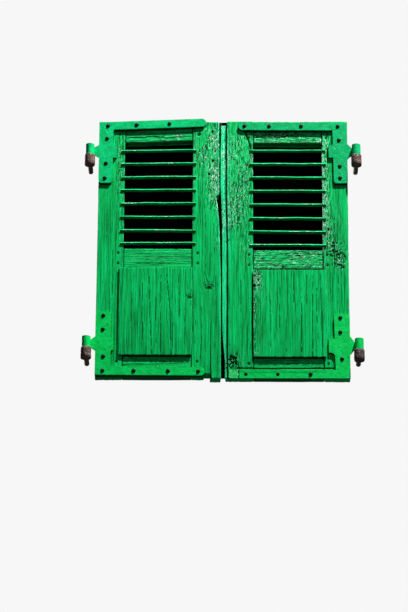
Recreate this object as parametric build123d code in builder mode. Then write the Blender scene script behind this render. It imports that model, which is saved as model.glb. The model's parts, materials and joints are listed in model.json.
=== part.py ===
from build123d import *
import os
from math import atan2, cos, degrees, radians, sin
from types import SimpleNamespace

# A pair of louvred wooden shutter leaves on strap hinges, closed, with the four pintles they hang on.
# Millimetres. X runs to the right, Y into the wall, Z up. The leaves' backs lie in the plane Y = 0,
# and the origin is the middle of the four pintle tails.

# The pair
pair_width = 800.0
leaf_height = 892.0
leaf_thickness = 36.0
meeting_line_x = -3.0  # middle of the gap between the two leaves
meeting_gap = 4.0
back_bevel = 2.0  # the meeting edges lean this far apart from front to back, so that the leaves pass

# Joinery
joint_play = 0.2
tenon_length = 45.0
tenon_thickness = 12.0
tenon_shoulder = 9.0  # rail above and below its tenon
shoulder_gap = 1.5  # open line between a rail's end and the stile
rail_setback = 1.5  # rails lie this far behind the stiles' face
peg_radius = 3.5
peg_play = 0.05
peg_sink = 0.8  # pegs end this far behind the stiles' face
mid_peg_spacing = 36.0
left_top_rail_wear = 8.0  # the rail's lower edge is worn up this far at the meeting stile

# Louvre slats
slat_count = 8
slat_thickness = 10.0
slat_depth = 38.5  # along the slope
slat_slope = 32.0  # degrees, falling to the outside
slat_stand = 5.0  # the nose stands this far out of the stiles' face
slat_nose_radius = 1.5
housing_depth = 11.0  # how far a slat's end runs into the stile

# Board panel under the louvres
panel_stand = 5.0
panel_depth = 16.0  # behind the stiles' face
panel_bottom_lap = 12.0
panel_edge = 1.2

# Strap hinges
strap_thickness = 5.0
arm_width = 28.0
leg_corner = 9.0
wing_corner = 3.2
neck_reach = 13.0  # past the leaf's outer edge, where the neck has narrowed to the tongue
neck_arc = 6.0
tongue_height = 28.0
tongue_reach = 26.0  # past the leaf's outer edge, into the rolled eye
eye_height = 36.0
eye_inset = 109.0  # from the leaf's end to the middle of the eye
eye_seam = 0.8  # open slit where the rolled end meets the tongue
eye_seam_reach = 15.0

# Pintles
pin_radius = 9.0
pin_play = 0.05
pin_stand = 3.0  # pin above the eye
pin_tip = 2.0
pin_offset = 28.0  # pin axis outside the leaf's outer edge
seat_gap = 0.1
collar_radius = 17.0
collar_height = 38.0
collar_edge = 1.5
shoulder_radius = 10.5
shoulder_reach = 19.0  # from the pin's axis to the flat shoulder where the tail begins
tail_radius = 8.0
tail_reach = 40.0  # behind the leaves' backs, in the wall
tail_tip = 2.5

# Through bolts of the hinges
bolt_radius = 3.0
bolt_play = 0.25
bolt_head_radius = 6.8
bolt_head_height = 3.8
bolt_end = 2.5  # thread past the nut
nut_width = 10.0
nut_thickness = 5.0
nut_play = 0.05
washer_radius = 7.0
washer_thickness = 1.2

# Inside hook that ties the two leaves together
latch_drop = 45.0  # below the leaf's mid height
latch_pivot_x = 45.0
latch_staple_x = -33.0
latch_plate_radius = 11.0
latch_plate_thickness = 3.7
hook_rod_radius = 3.0
hook_ring_radius = 7.5
hook_ring_thickness = 5.2
hook_lift = 7.0  # rod's middle behind the leaves' backs
hook_bill = 14.0
hook_bend_radius = 3.9
hook_seat_gap = 0.5
pivot_radius = 3.0
pivot_play = 0.05
pivot_depth = 25.0
pivot_head_radius = 6.0
pivot_head_thickness = 2.5
pivot_head_edge = 1.2
pivot_end_gap = 0.3
staple_wire_radius = 2.5
staple_spread = 16.0
staple_stand = 6.0  # straight part of the legs behind the leaf
staple_depth = 22.0

# Each leaf's own sizes, as they were planed, worn and mended. The middle rail's top is a height above
# the leaf's mid height. The first slat's nose lies below the top rail, the last one's above the middle rail.
left = SimpleNamespace(
    name="left",
    side=-1,
    meeting_edge=meeting_gap / 2 - meeting_line_x,
    hinge_stile_width=84.0,
    meeting_stile_width=92.0,
    top_rail_height=74.0,
    mid_rail_top=-6.0,
    mid_rail_height=68.0,
    bottom_rail_height=82.0,
    panel_side_lap=12.0,
    first_slat_drop=32.0,
    last_slat_rise=17.7,
    peg_inset=17.0,
    top_peg_drop=46.0,
    bottom_peg_rise=50.0,
    top_rise=0.0,
    foot_drop=0.0,
)
right = SimpleNamespace(
    name="right",
    side=1,
    meeting_edge=meeting_gap / 2 + meeting_line_x,
    hinge_stile_width=81.0,
    meeting_stile_width=97.0,
    top_rail_height=74.0,
    mid_rail_top=-10.0,
    mid_rail_height=70.0,
    bottom_rail_height=76.0,
    panel_side_lap=7.0,
    first_slat_drop=31.0,
    last_slat_rise=16.4,
    peg_inset=13.0,
    top_peg_drop=56.0,
    bottom_peg_rise=43.0,
    top_rise=2.5,
    foot_drop=5.0,
)

# Each hinge's own sizes. The arm stops short of the leaf's free edge by arm_gap. Its bolts are placed by
# shares of its length from the leaf's outer edge, the leg's by their drop from the nominal end and their
# inset. The leg's two widths are at its corner and at its free end, and so are the wing's two arcs.
left_top = SimpleNamespace(
    name="left_top", leaf=left, end=1, arm_drop=19.0, arm_rise=14.5, arm_gap=50.0, round_end=True,
    arm_bolts=(0.082, 0.350, 0.657), leg_bolts=((63.5, 26.0), (152.5, 23.3), (205.5, 20.9)),
    leg_length=222.0, leg_widths=(46.5, 44.5), wing_height=46.0, wing_reach=57.5, wing_arcs=(7.0, 6.0),
    neck_height=45.0, eye_shift=0.0,
)
left_bottom = SimpleNamespace(
    name="left_bottom", leaf=left, end=-1, arm_drop=17.0, arm_rise=-2.0, arm_gap=50.0, round_end=True,
    arm_bolts=(0.071, 0.354, 0.665, 0.939), leg_bolts=((65.0, 26.0), (157.0, 23.5), (205.0, 24.5)),
    leg_length=217.0, leg_widths=(49.0, 49.0), wing_height=44.0, wing_reach=57.5, wing_arcs=(5.0, 5.0),
    neck_height=48.0, eye_shift=0.0,
)
right_top = SimpleNamespace(
    name="right_top", leaf=right, end=1, arm_drop=18.0, arm_rise=1.0, arm_gap=50.0, round_end=True,
    arm_bolts=(0.086, 0.423, 0.717, 0.944), leg_bolts=((67.5, 26.8), (161.0, 25.0), (203.0, 24.4)),
    leg_length=222.0, leg_widths=(47.5, 44.5), wing_height=42.0, wing_reach=60.5, wing_arcs=(9.5, 11.0),
    neck_height=54.0, eye_shift=0.0,
)
right_bottom = SimpleNamespace(
    name="right_bottom", leaf=right, end=-1, arm_drop=6.0, arm_rise=0.0, arm_gap=20.5, round_end=False,
    arm_bolts=(0.328, 0.596, 0.859), leg_bolts=((58.0, 26.0), (149.0, 30.3), (199.0, 29.6)),
    leg_length=212.0, leg_widths=(45.5, 50.0), wing_height=47.0, wing_reach=67.0, wing_arcs=(15.0, 8.0),
    neck_height=64.0, eye_shift=-6.0,
)
hinges = [left_top, left_bottom, right_top, right_bottom]

# Wear and breaks that the leaves show
left_top_wear = 8.4
left_edge_wear = (  # drop from the leaf's top and how much of the free edge is gone there
    (48, 8.4), (109, 7.2), (261, 7.0), (266, 16.0), (298, 11.6), (352, 7.6), (422, 4.2), (579, 1.0),
)
left_split_rise = 212.0
left_split_reach = 38.5
left_split_drop = 7.0  # the splinter beside the split hangs this far below the leaf
left_split_width = 2.4
left_rot = ((0, 9), (15.5, 8), (22, 0))  # distance inwards from the split and height above the foot
strip_reach = (  # drop from the right leaf's top and how far the strip stands past the meeting edge there
    (60, 6.0), (106, 7.4), (228, 7.4), (258, 6.4), (300, 3.7), (370, 1.9), (630, 1.3),
)
strip_widths = (  # drop from the leaf's top and the sunk strip's width there, from the meeting edge
    (0, 13.4), (246, 13.5), (370, 15.9), (458, 17.4), (800, 18.0), (899, 19.0),
)
strip_sink = 5.0
strip_top_loss = 9.0
strip_break = ((156, 0.0), (96, 4.2), (58, 8.3), (0, 8.4))  # height above the foot and how much is gone there
right_crack = ((32, 26), (26, 45), (17, 71), (11, 100))  # inset from the louvres and drop from the top
right_crack_width = 1.6
right_crack_depth = 10.0
rail_rot_height = 3.2  # open line in the right bottom rail, above the strap
rail_rot_depth = 7.0

# Worked out from the sizes above
front_y = -leaf_thickness
half_height = leaf_height / 2
outer_edge = pair_width / 2
eye_radius = pin_radius + pin_play + strap_thickness
axis_reach = outer_edge + pin_offset
axis_y = front_y - eye_radius
leaf_mid_z = eye_height / 2 + seat_gap + collar_height / 2
tenon_back = (leaf_thickness - tenon_thickness) / 2
past = 5.0  # how far a cutter runs past the face it leaves
near = 1.0  # corners closer than this to a line count as lying on it


def front_view(y):
    """Sketch plane seen from the front: local x is X, local y is Z, and it extrudes to the front."""
    return Plane(origin=(0, y, 0), x_dir=(1, 0, 0), z_dir=(0, -1, 0))


def leaf_top(leaf):
    return half_height + leaf.top_rise


def leaf_foot(leaf):
    return -half_height - leaf.foot_drop


def at_front_view(reach, height, leaf):
    """Location at a distance from the pair's middle and a height above the leaf's mid height."""
    return Location((leaf.side * reach, 0, leaf_mid_z + height))


def hinge_inner(leaf):
    return outer_edge - leaf.hinge_stile_width


def meeting_inner(leaf):
    return leaf.meeting_edge + leaf.meeting_stile_width


def rails(leaf):
    """Name, lower edge and upper edge of each rail, from the leaf's mid height."""
    return (
        ("top_rail", half_height - leaf.top_rail_height, leaf_top(leaf)),
        ("mid_rail", leaf.mid_rail_top - leaf.mid_rail_height, leaf.mid_rail_top),
        ("bottom_rail", leaf_foot(leaf), leaf.bottom_rail_height - half_height),
    )


def slab(leaf, inner, outer, low, high, back_y, thickness):
    """A board between two reaches and two heights, from its back to the front."""
    with BuildPart() as board:
        with BuildSketch(front_view(back_y)):
            with Locations((leaf.side * (inner + outer) / 2, leaf_mid_z + (low + high) / 2)):
                Rectangle(outer - inner, high - low)
        extrude(amount=thickness)
    return board.part


def prism(points, back_y, thickness):
    """A block whose front view is a polygon of (X, height above mid height) points."""
    with BuildPart() as block:
        with BuildSketch(front_view(back_y)):
            with BuildLine():
                Polyline(*[(x, leaf_mid_z + height) for x, height in points], close=True)
            make_face()
        extrude(amount=thickness)
    return block.part


def tenon_bar(leaf, low, high, play):
    """The bar that holds both tenons of a rail, or, with play, the cutter for its mortises."""
    return slab(
        leaf,
        meeting_inner(leaf) - tenon_length - play,
        hinge_inner(leaf) + tenon_length + play,
        low + tenon_shoulder - play,
        high - tenon_shoulder + play,
        play - tenon_back,
        tenon_thickness + 2 * play,
    )


def slat_range(leaf):
    """Heights of the first and the last slat's nose."""
    return half_height - leaf.top_rail_height - leaf.first_slat_drop, leaf.mid_rail_top + leaf.last_slat_rise


def slat_bar(leaf, number, play):
    """One sloping slat, or, with play, the cutter for its housings in the stiles."""
    reach_in = meeting_inner(leaf) - housing_depth - play
    reach_out = hinge_inner(leaf) + housing_depth + play
    start_x = min(leaf.side * reach_in, leaf.side * reach_out)
    first, last = slat_range(leaf)
    nose_z = leaf_mid_z + first + (last - first) * (number - 1) / (slat_count - 1)
    slope = radians(slat_slope)
    profile = Plane(
        origin=(start_x, front_y - slat_stand, nose_z),
        x_dir=(0, cos(slope), sin(slope)),
        z_dir=(1, 0, 0),
    )
    with BuildPart() as slat:
        with BuildSketch(profile):
            with Locations((slat_depth / 2, -slat_thickness / 2)):
                Rectangle(slat_depth + 2 * play, slat_thickness + 2 * play)
        extrude(amount=reach_out - reach_in)
        if not play:
            nose = slat.faces().sort_by(Axis((0, 0, 0), profile.x_dir))[0]
            fillet(nose.edges().filter_by(Axis.X), slat_nose_radius)
    return slat.part


def arm_end(hinge):
    """Distance from the pair's middle to the end of the strap's long arm."""
    return hinge.leaf.meeting_edge + hinge.arm_gap


def arm_angle(hinge):
    """Tilt of the strap's long arm, in degrees."""
    return degrees(atan2(hinge.arm_rise, hinge.leaf.side * (arm_end(hinge) - outer_edge)))


def arm_height(hinge, reach):
    """Height of the long arm's middle line at a distance from the pair's middle."""
    share = (outer_edge - reach) / (outer_edge - arm_end(hinge))
    return hinge.end * (half_height - hinge.arm_drop) + hinge.arm_rise * share


def eye_height_of(hinge):
    """Height of the middle of a hinge's eye above the leaf's mid height."""
    return hinge.end * (half_height - eye_inset) + hinge.eye_shift


def bolt_places(hinge):
    """Distance from the pair's middle and height of every bolt of a hinge."""
    arm_length = outer_edge - arm_end(hinge)
    reaches = [outer_edge - share * arm_length for share in hinge.arm_bolts]
    on_arm = [(reach, arm_height(hinge, reach)) for reach in reaches]
    on_leg = [(outer_edge - inset, hinge.end * (half_height - drop)) for drop, inset in hinge.leg_bolts]
    return on_arm + on_leg


def peg_places(leaf):
    """Distance from the pair's middle and height of every peg of a leaf."""
    mid = leaf.mid_rail_top - leaf.mid_rail_height / 2
    top, bottom = half_height - leaf.top_peg_drop, leaf.bottom_peg_rise - half_height
    heights = (top, mid + mid_peg_spacing / 2, mid - mid_peg_spacing / 2, bottom)
    reaches = (meeting_inner(leaf) - leaf.peg_inset, hinge_inner(leaf) + leaf.peg_inset)
    return [(reach, height) for reach in reaches for height in heights]


def drills(leaf, places, radius):
    """Cutters for holes right through the leaf from front to back."""
    with BuildPart() as cutters:
        with BuildSketch(front_view(past)):
            with Locations(*[(leaf.side * reach, leaf_mid_z + height) for reach, height in places]):
                Circle(radius)
        extrude(amount=leaf_thickness + 2 * past + strap_thickness)
    return cutters.part


def leaf_drills(leaf):
    bolts = [place for hinge in hinges if hinge.leaf is leaf for place in bolt_places(hinge)]
    return [
        drills(leaf, bolts, bolt_radius + bolt_play),
        drills(leaf, peg_places(leaf), peg_radius + peg_play),
    ]


def free_edge(leaf):
    """Front view of a leaf's worn meeting edge, from its top to its foot."""
    edge_x = leaf.side * leaf.meeting_edge
    foot = leaf_foot(leaf)
    if leaf is left:
        worn = [(edge_x - loss, half_height - drop) for drop, loss in left_edge_wear]
        return [(edge_x - left_top_wear, half_height), *worn, (edge_x, foot - left_split_drop)]
    top = leaf_top(leaf)
    standing = [(edge_x - reach, top - drop) for drop, reach in strip_reach]
    broken = [(edge_x + loss, foot + rise) for rise, loss in strip_break]
    return [(edge_x - strip_reach[0][1], top - strip_top_loss), *standing, *broken]


def bevel_cutter(leaf):
    """Slanting block beside the meeting edge: it leans that edge back, so that the leaf swings clear."""
    edge = free_edge(leaf)
    (high_x, high), (low_x, low) = edge[0], edge[-1]
    clear_x = -leaf.side * 4 * past
    ceiling, floor = high + 2 * past, low - past
    points = [(clear_x, ceiling), (high_x, ceiling), *edge, (low_x, floor), (clear_x, floor)]
    lean = Vector(leaf.side * back_bevel, leaf_thickness, 0)
    with BuildPart() as block:
        with BuildSketch(front_view(front_y)):
            with BuildLine():
                Polyline(*[(x, leaf_mid_z + z) for x, z in points], close=True)
            make_face()
        extrude(amount=lean.length * (1 + past / leaf_thickness), dir=lean.normalized())
    return block.part


def left_meeting_outline():
    """Front view of the left meeting stile, with its worn and notched free edge."""
    inner_x = -meeting_inner(left)
    split_x = -left_split_reach
    rotten = [(split_x - inwards, height - half_height) for inwards, height in left_rot]
    return [
        (inner_x, half_height),
        *free_edge(left),
        (split_x, -half_height - left_split_drop),
        *rotten,
        (inner_x, -half_height),
    ]


def left_split_cutter():
    """Long split that opens towards the foot of the left meeting stile."""
    foot_x = -left_split_reach + left_split_width
    foot = -half_height - left_split_drop - past
    top = left_split_rise - half_height
    points = [(-left_split_reach, top), (foot_x, foot), (foot_x - left_split_width, foot)]
    return prism(points, past, leaf_thickness + 2 * past)


def right_meeting_outline():
    """Front view of the right meeting stile, whose free corner is broken away at the foot."""
    edge_x = right.meeting_edge
    inner_x = meeting_inner(right)
    top = leaf_top(right)
    strip_x = edge_x + strip_widths[0][1]
    return [
        *reversed(free_edge(right)),
        (strip_x, top - strip_top_loss),
        (strip_x, top),
        (inner_x, top),
        (inner_x, leaf_foot(right)),
    ]


def strip_cutter():
    """Front of the sunk strip, which grows wider towards the foot."""
    edge_x = right.meeting_edge
    top, clear_x = leaf_top(right), -3 * past
    side_line = [(edge_x + width, top - drop) for drop, width in strip_widths]
    (high_x, high), (low_x, low) = side_line[0], side_line[-1]
    ceiling, floor = high + past, low - past
    points = [(clear_x, ceiling), (high_x, ceiling), *side_line, (low_x, floor), (clear_x, floor)]
    return prism(points, front_y + strip_sink, strip_sink + past)


def right_crack_cutter():
    """Crack beside the right leaf's louvres, widest in its middle."""
    there = [(meeting_inner(right) - inset, half_height - drop) for inset, drop in right_crack]
    back = [(x + right_crack_width, height) for x, height in reversed(there[1:-1])]
    return prism([*there, *back], front_y + right_crack_depth, right_crack_depth + past)


def rail_rot_cutter():
    """Open line along the foot of the right leaf, just above the strap's arm."""
    low = arm_height(right_bottom, 0) + arm_width / 2
    return slab(
        right, meeting_inner(right) - tenon_length, hinge_inner(right) + right_bottom.leg_widths[0] / 2,
        low, low + rail_rot_height, front_y + rail_rot_depth, rail_rot_depth + past,
    )


def rail_wear_cutter():
    """Wedge of wear under the left top rail, deepest at the meeting stile."""
    low = half_height - left.top_rail_height
    points = [
        (-hinge_inner(left), low),
        (-meeting_inner(left), low + left_top_rail_wear),
        (-meeting_inner(left), low - past),
        (-hinge_inner(left), low - past),
    ]
    return prism(points, past, leaf_thickness + 2 * past)


def finish(part, name):
    part.label = name
    export_step(part, f"parts/{name}.step")


def make_stiles(leaf):
    cutters = [tenon_bar(leaf, low, high, joint_play) for name, low, high in rails(leaf)]
    cutters += [slat_bar(leaf, number + 1, joint_play) for number in range(slat_count)]
    cutters += leaf_drills(leaf)
    if leaf is right:
        cutters += [rail_rot_cutter(), right_crack_cutter()]

    with BuildPart() as hinge_stile:
        add(slab(leaf, hinge_inner(leaf), outer_edge, leaf_foot(leaf), leaf_top(leaf), 0, leaf_thickness))
        add(cutters, mode=Mode.SUBTRACT)
    finish(hinge_stile.part, f"{leaf.name}_hinge_stile")

    outline = left_meeting_outline() if leaf is left else right_meeting_outline()
    with BuildPart() as meeting_stile:
        add(prism(outline, 0, leaf_thickness))
        add([*cutters, bevel_cutter(leaf), latch_drills()], mode=Mode.SUBTRACT)
        add(left_split_cutter() if leaf is left else strip_cutter(), mode=Mode.SUBTRACT)
    finish(meeting_stile.part, f"{leaf.name}_meeting_stile")


def make_rails(leaf):
    holes = leaf_drills(leaf)
    for name, low, high in rails(leaf):
        with BuildPart() as rail:
            add(
                slab(
                    leaf, meeting_inner(leaf) + shoulder_gap, hinge_inner(leaf) - shoulder_gap,
                    low, high, 0, leaf_thickness - rail_setback,
                )
            )
            if leaf is left and name == "top_rail":
                add(rail_wear_cutter(), mode=Mode.SUBTRACT)
            add(tenon_bar(leaf, low, high, 0))
            add(holes, mode=Mode.SUBTRACT)
            if leaf is right and name == "bottom_rail":
                add(rail_rot_cutter(), mode=Mode.SUBTRACT)
        finish(rail.part, f"{leaf.name}_{name}")


def make_panel(leaf):
    """Boards that fill the lower opening and lap over the hinge stile and the bottom rail."""
    inner = meeting_inner(leaf) + joint_play
    top = leaf.mid_rail_top - leaf.mid_rail_height - joint_play
    rail_top = leaf.bottom_rail_height - half_height
    with BuildPart() as panel:
        add(
            slab(
                leaf, inner, hinge_inner(leaf) + leaf.panel_side_lap,
                rail_top - panel_bottom_lap, top, front_y, panel_stand,
            )
        )
        front = panel.faces().sort_by(Axis.Y)[0]
        chamfer(front.edges(), panel_edge)
        add(
            slab(
                leaf, inner, hinge_inner(leaf) - joint_play,
                rail_top + joint_play, top, front_y + panel_depth, panel_depth,
            )
        )
    finish(panel.part, f"{leaf.name}_panel")


def make_slats(leaf):
    for number in range(slat_count):
        slat = slat_bar(leaf, number + 1, 0)
        finish(slat, f"{leaf.name}_slat_{number + 1}")


def make_pegs(leaf):
    places = [(leaf.side * reach, leaf_mid_z + height) for reach, height in peg_places(leaf)]
    with BuildPart() as pegs:
        with BuildSketch(front_view(0)):
            with Locations(*places):
                Circle(peg_radius)
        extrude(amount=leaf_thickness - peg_sink)
    finish(pegs.part, f"{leaf.name}_pegs")


def neck_outline(side, eye_z, neck_height):
    """The neck narrows from the leaf's outer edge to the tongue, and starts a little inside the leg."""
    slope = (neck_height - tongue_height) / 2 / neck_reach
    start = neck_height / 2 + slope * past
    upper = [(-past, start), (neck_reach, tongue_height / 2), (tongue_reach, tongue_height / 2)]
    lower = [(reach, -height) for reach, height in reversed(upper)]
    return [(side * (outer_edge + reach), eye_z + height) for reach, height in [*upper, *lower]]


def make_hinge(hinge):
    """One flat strap of an L shape with a wing, whose tongue is rolled into the eye."""
    leaf, side, end = hinge.leaf, hinge.leaf.side, hinge.end
    eye_z = leaf_mid_z + eye_height_of(hinge)
    corner_width, foot_width = hinge.leg_widths
    arm_edge = leaf_mid_z + arm_height(hinge, outer_edge) + end * arm_width / 2
    leg_foot = leaf_mid_z + end * (half_height - hinge.leg_length)
    arm_stop = arm_end(hinge) + (arm_width / 2 if hinge.round_end else 0)
    arm_middle = (outer_edge + arm_stop) / 2
    arm_z = leaf_mid_z + arm_height(hinge, arm_middle)
    leg = [
        (side * outer_edge, arm_edge),
        (side * outer_edge, leg_foot),
        (side * (outer_edge - foot_width), leg_foot),
        (side * (outer_edge - corner_width), arm_edge),
    ]

    with BuildPart() as strap:
        with BuildSketch(front_view(front_y)) as outline:
            with BuildLine():
                Polyline(*leg, close=True)
            make_face()
            foot = outline.vertices().sort_by(Axis.Y)
            fillet(foot[:2] if end > 0 else foot[-2:], leg_corner)
            with Locations((side * (outer_edge - hinge.wing_reach / 2), eye_z)):
                Rectangle(hinge.wing_reach, hinge.wing_height)
            with BuildLine():
                Polyline(*neck_outline(side, eye_z, hinge.neck_height), close=True)
            make_face()
            band = max(hinge.wing_height, hinge.neck_height) / 2 + near
            corners = [(v, outer_edge - v.X * side) for v in outline.vertices() if abs(v.Y - eye_z) < band]
            tips = [v for v, inset in corners if abs(inset - hinge.wing_reach) < near]
            at_leg = [v for v, inset in corners if near < inset < hinge.wing_reach - near]
            at_edge = [v for v, inset in corners if abs(inset) < near]
            roots = [v for v, inset in corners if abs(inset + neck_reach) < near]
            at_leg.sort(key=lambda v: -end * v.Y)
            for vertex, arc in zip(at_leg, hinge.wing_arcs):
                fillet(vertex, arc)
            fillet(at_edge, neck_arc)
            fillet(tips, wing_corner)
            fillet(roots, neck_arc)
            with Locations(Location((side * arm_middle, arm_z, 0), (0, 0, arm_angle(hinge)))):
                Rectangle(outer_edge - arm_stop, arm_width)
            if hinge.round_end:
                with Locations((side * arm_stop, leaf_mid_z + arm_height(hinge, arm_stop))):
                    Circle(arm_width / 2)
        extrude(amount=strap_thickness)
        with BuildSketch(Plane.XY.offset(eye_z - eye_height / 2)):
            with Locations((side * axis_reach, axis_y)):
                Circle(eye_radius)
                Circle(pin_radius + pin_play, mode=Mode.SUBTRACT)
            with Locations((side * (axis_reach - eye_radius / 2), front_y - strap_thickness - eye_seam / 2)):
                Rectangle(eye_seam_reach, eye_seam, mode=Mode.SUBTRACT)
        extrude(amount=eye_height)
        add(drills(leaf, bolt_places(hinge), bolt_radius + bolt_play), mode=Mode.SUBTRACT)
    finish(strap.part, f"{hinge.name}_hinge")


def make_bolts(hinge):
    """Cup-headed bolts through strap and wood, each with a washer and a square nut at the back."""
    leaf = hinge.leaf
    places = [at_front_view(reach, height, leaf) for reach, height in bolt_places(hinge)]
    head_y = front_y - strap_thickness
    nut_y = washer_thickness
    thread_end = nut_y + nut_thickness + bolt_end
    head_round = (bolt_head_radius**2 + bolt_head_height**2) / (2 * bolt_head_height)
    head_slope = atan2(bolt_head_height, bolt_head_radius)

    with BuildPart() as bolt:
        with BuildSketch(Plane.XY):
            with BuildLine():
                Line((0, head_y - bolt_head_height), (0, thread_end))
                Line((0, thread_end), (bolt_radius, thread_end))
                Line((bolt_radius, thread_end), (bolt_radius, head_y))
                Line((bolt_radius, head_y), (bolt_head_radius, head_y))
                ThreePointArc(
                    (bolt_head_radius, head_y),
                    (
                        head_round * sin(head_slope),
                        head_y - bolt_head_height + head_round * (1 - cos(head_slope)),
                    ),
                    (0, head_y - bolt_head_height),
                )
            make_face()
        revolve(axis=Axis.Y)
    with BuildPart() as bolts:
        with Locations(*places):
            add(bolt.part)
    finish(bolts.part, f"{hinge.name}_bolts")

    with BuildPart() as nuts:
        with BuildSketch(front_view(nut_y + nut_thickness)):
            with Locations(*[(p.position.X, p.position.Z) for p in places]):
                Rectangle(nut_width, nut_width)
                Circle(bolt_radius + nut_play, mode=Mode.SUBTRACT)
        extrude(amount=nut_thickness)
    finish(nuts.part, f"{hinge.name}_nuts")

    with BuildPart() as washers:
        with BuildSketch(front_view(washer_thickness)):
            with Locations(*[(p.position.X, p.position.Z) for p in places]):
                Circle(washer_radius)
                Circle(bolt_radius + bolt_play, mode=Mode.SUBTRACT)
        extrude(amount=washer_thickness)
    finish(washers.part, f"{hinge.name}_washers")


def make_pintle(hinge):
    """Forged pintle: a pin on a stout collar, and a round tail that is leaded into the masonry."""
    side, end = hinge.leaf.side, hinge.end
    collar_top = leaf_mid_z + eye_height_of(hinge) - eye_height / 2 - seat_gap
    tail_z = leaf_mid_z + end * (half_height - eye_inset) - eye_height / 2 - seat_gap - collar_height / 2
    with BuildPart() as pintle:
        with BuildSketch(Plane.XY.offset(collar_top - collar_height)):
            with Locations((side * axis_reach, axis_y)):
                Circle(collar_radius)
        extrude(amount=collar_height)
        chamfer(pintle.edges().filter_by(GeomType.CIRCLE), collar_edge)
        with BuildSketch(Plane.XY.offset(collar_top)):
            with Locations((side * axis_reach, axis_y)):
                Circle(pin_radius)
        extrude(amount=seat_gap + eye_height + pin_stand)
        fillet(pintle.faces().sort_by(Axis.Z)[-1].edges(), pin_tip)
        with BuildSketch(front_view(axis_y + shoulder_reach)):
            with Locations((side * axis_reach, tail_z)):
                Circle(shoulder_radius)
        extrude(amount=shoulder_reach)
        with BuildSketch(front_view(tail_reach)):
            with Locations((side * axis_reach, tail_z)):
                Circle(tail_radius)
        extrude(amount=tail_reach - axis_y)
        chamfer(pintle.faces().sort_by(Axis.Y)[-1].edges(), tail_tip)
    end_name = "upper" if end > 0 else "lower"
    finish(pintle.part, f"{end_name}_{hinge.leaf.name}_pintle")


def latch_height():
    return leaf_mid_z - latch_drop


def staple_height():
    """The staple's wire lies just under the engaged hook's rod."""
    return latch_height() - hook_rod_radius - hook_seat_gap - staple_wire_radius


def latch_drills():
    """Holes for the hook's pivot in one leaf and for the staple's legs in the other."""
    with BuildPart() as cutters:
        with BuildSketch(front_view(past)):
            with Locations((latch_pivot_x, latch_height())):
                Circle(pivot_radius + pivot_play)
        extrude(amount=past + pivot_depth)
        with BuildSketch(front_view(past)):
            with Locations(
                (latch_staple_x - staple_spread / 2, staple_height()),
                (latch_staple_x + staple_spread / 2, staple_height()),
            ):
                Circle(staple_wire_radius + pivot_play)
        extrude(amount=past + staple_depth)
    return cutters.part


def make_latch():
    ring_face = hook_lift + hook_ring_thickness / 2
    rod_face = hook_lift + hook_rod_radius
    neck = pivot_radius + pivot_play + hook_rod_radius
    length = latch_pivot_x - latch_staple_x
    height = latch_height()

    # The hook hangs straight down from its pivot, with its bill towards the hinge side.
    with BuildPart() as hook:
        with BuildSketch(front_view(ring_face)):
            with Locations((latch_pivot_x, height)):
                Circle(hook_ring_radius)
        extrude(amount=hook_ring_thickness)
        with BuildLine() as rod:
            FilletPolyline(
                (latch_pivot_x, hook_lift, height - neck),
                (latch_pivot_x, hook_lift, height - length),
                (latch_pivot_x + hook_bill, hook_lift, height - length),
                radius=hook_bend_radius,
            )
        with BuildSketch(Plane(origin=rod.line @ 0, z_dir=rod.line % 0)):
            Circle(hook_rod_radius)
        sweep()
        with BuildSketch(front_view(ring_face + past)):
            with Locations((latch_pivot_x, height)):
                Circle(pivot_radius + pivot_play)
        extrude(amount=hook_ring_thickness + 2 * past, mode=Mode.SUBTRACT)
    finish(hook.part, "latch_hook")

    with BuildPart() as pivot:
        with BuildSketch(front_view(latch_plate_thickness)):
            with Locations((latch_pivot_x, height)):
                Circle(latch_plate_radius)
        extrude(amount=latch_plate_thickness)
        with BuildSketch(front_view(rod_face + pivot_end_gap)):
            with Locations((latch_pivot_x, height)):
                Circle(pivot_radius)
        extrude(amount=rod_face + pivot_end_gap + pivot_depth)
        with BuildSketch(front_view(rod_face + pivot_end_gap + pivot_head_thickness)):
            with Locations((latch_pivot_x, height)):
                Circle(pivot_head_radius)
        extrude(amount=pivot_head_thickness)
        fillet(pivot.faces().sort_by(Axis.Y)[-1].edges(), pivot_head_edge)
    finish(pivot.part, "latch_pivot")

    with BuildPart() as staple:
        half = staple_spread / 2
        low = staple_height()
        with BuildLine() as wire:
            Line((latch_staple_x - half, -staple_depth, low), (latch_staple_x - half, staple_stand, low))
            ThreePointArc(
                (latch_staple_x - half, staple_stand, low),
                (latch_staple_x, staple_stand + half, low),
                (latch_staple_x + half, staple_stand, low),
            )
            Line((latch_staple_x + half, staple_stand, low), (latch_staple_x + half, -staple_depth, low))
        with BuildSketch(Plane(origin=wire.line @ 0, z_dir=wire.line % 0)):
            Circle(staple_wire_radius)
        sweep()
    finish(staple.part, "latch_staple")


os.makedirs("parts", exist_ok=True)
for leaf in (left, right):
    make_stiles(leaf)
    make_rails(leaf)
    make_panel(leaf)
    make_slats(leaf)
    make_pegs(leaf)
for hinge in hinges:
    make_hinge(hinge)
    make_bolts(hinge)
    make_pintle(hinge)
make_latch()
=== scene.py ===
import json
import math

import bmesh
import bpy
import numpy as np
from mathutils import Matrix, Vector

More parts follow.
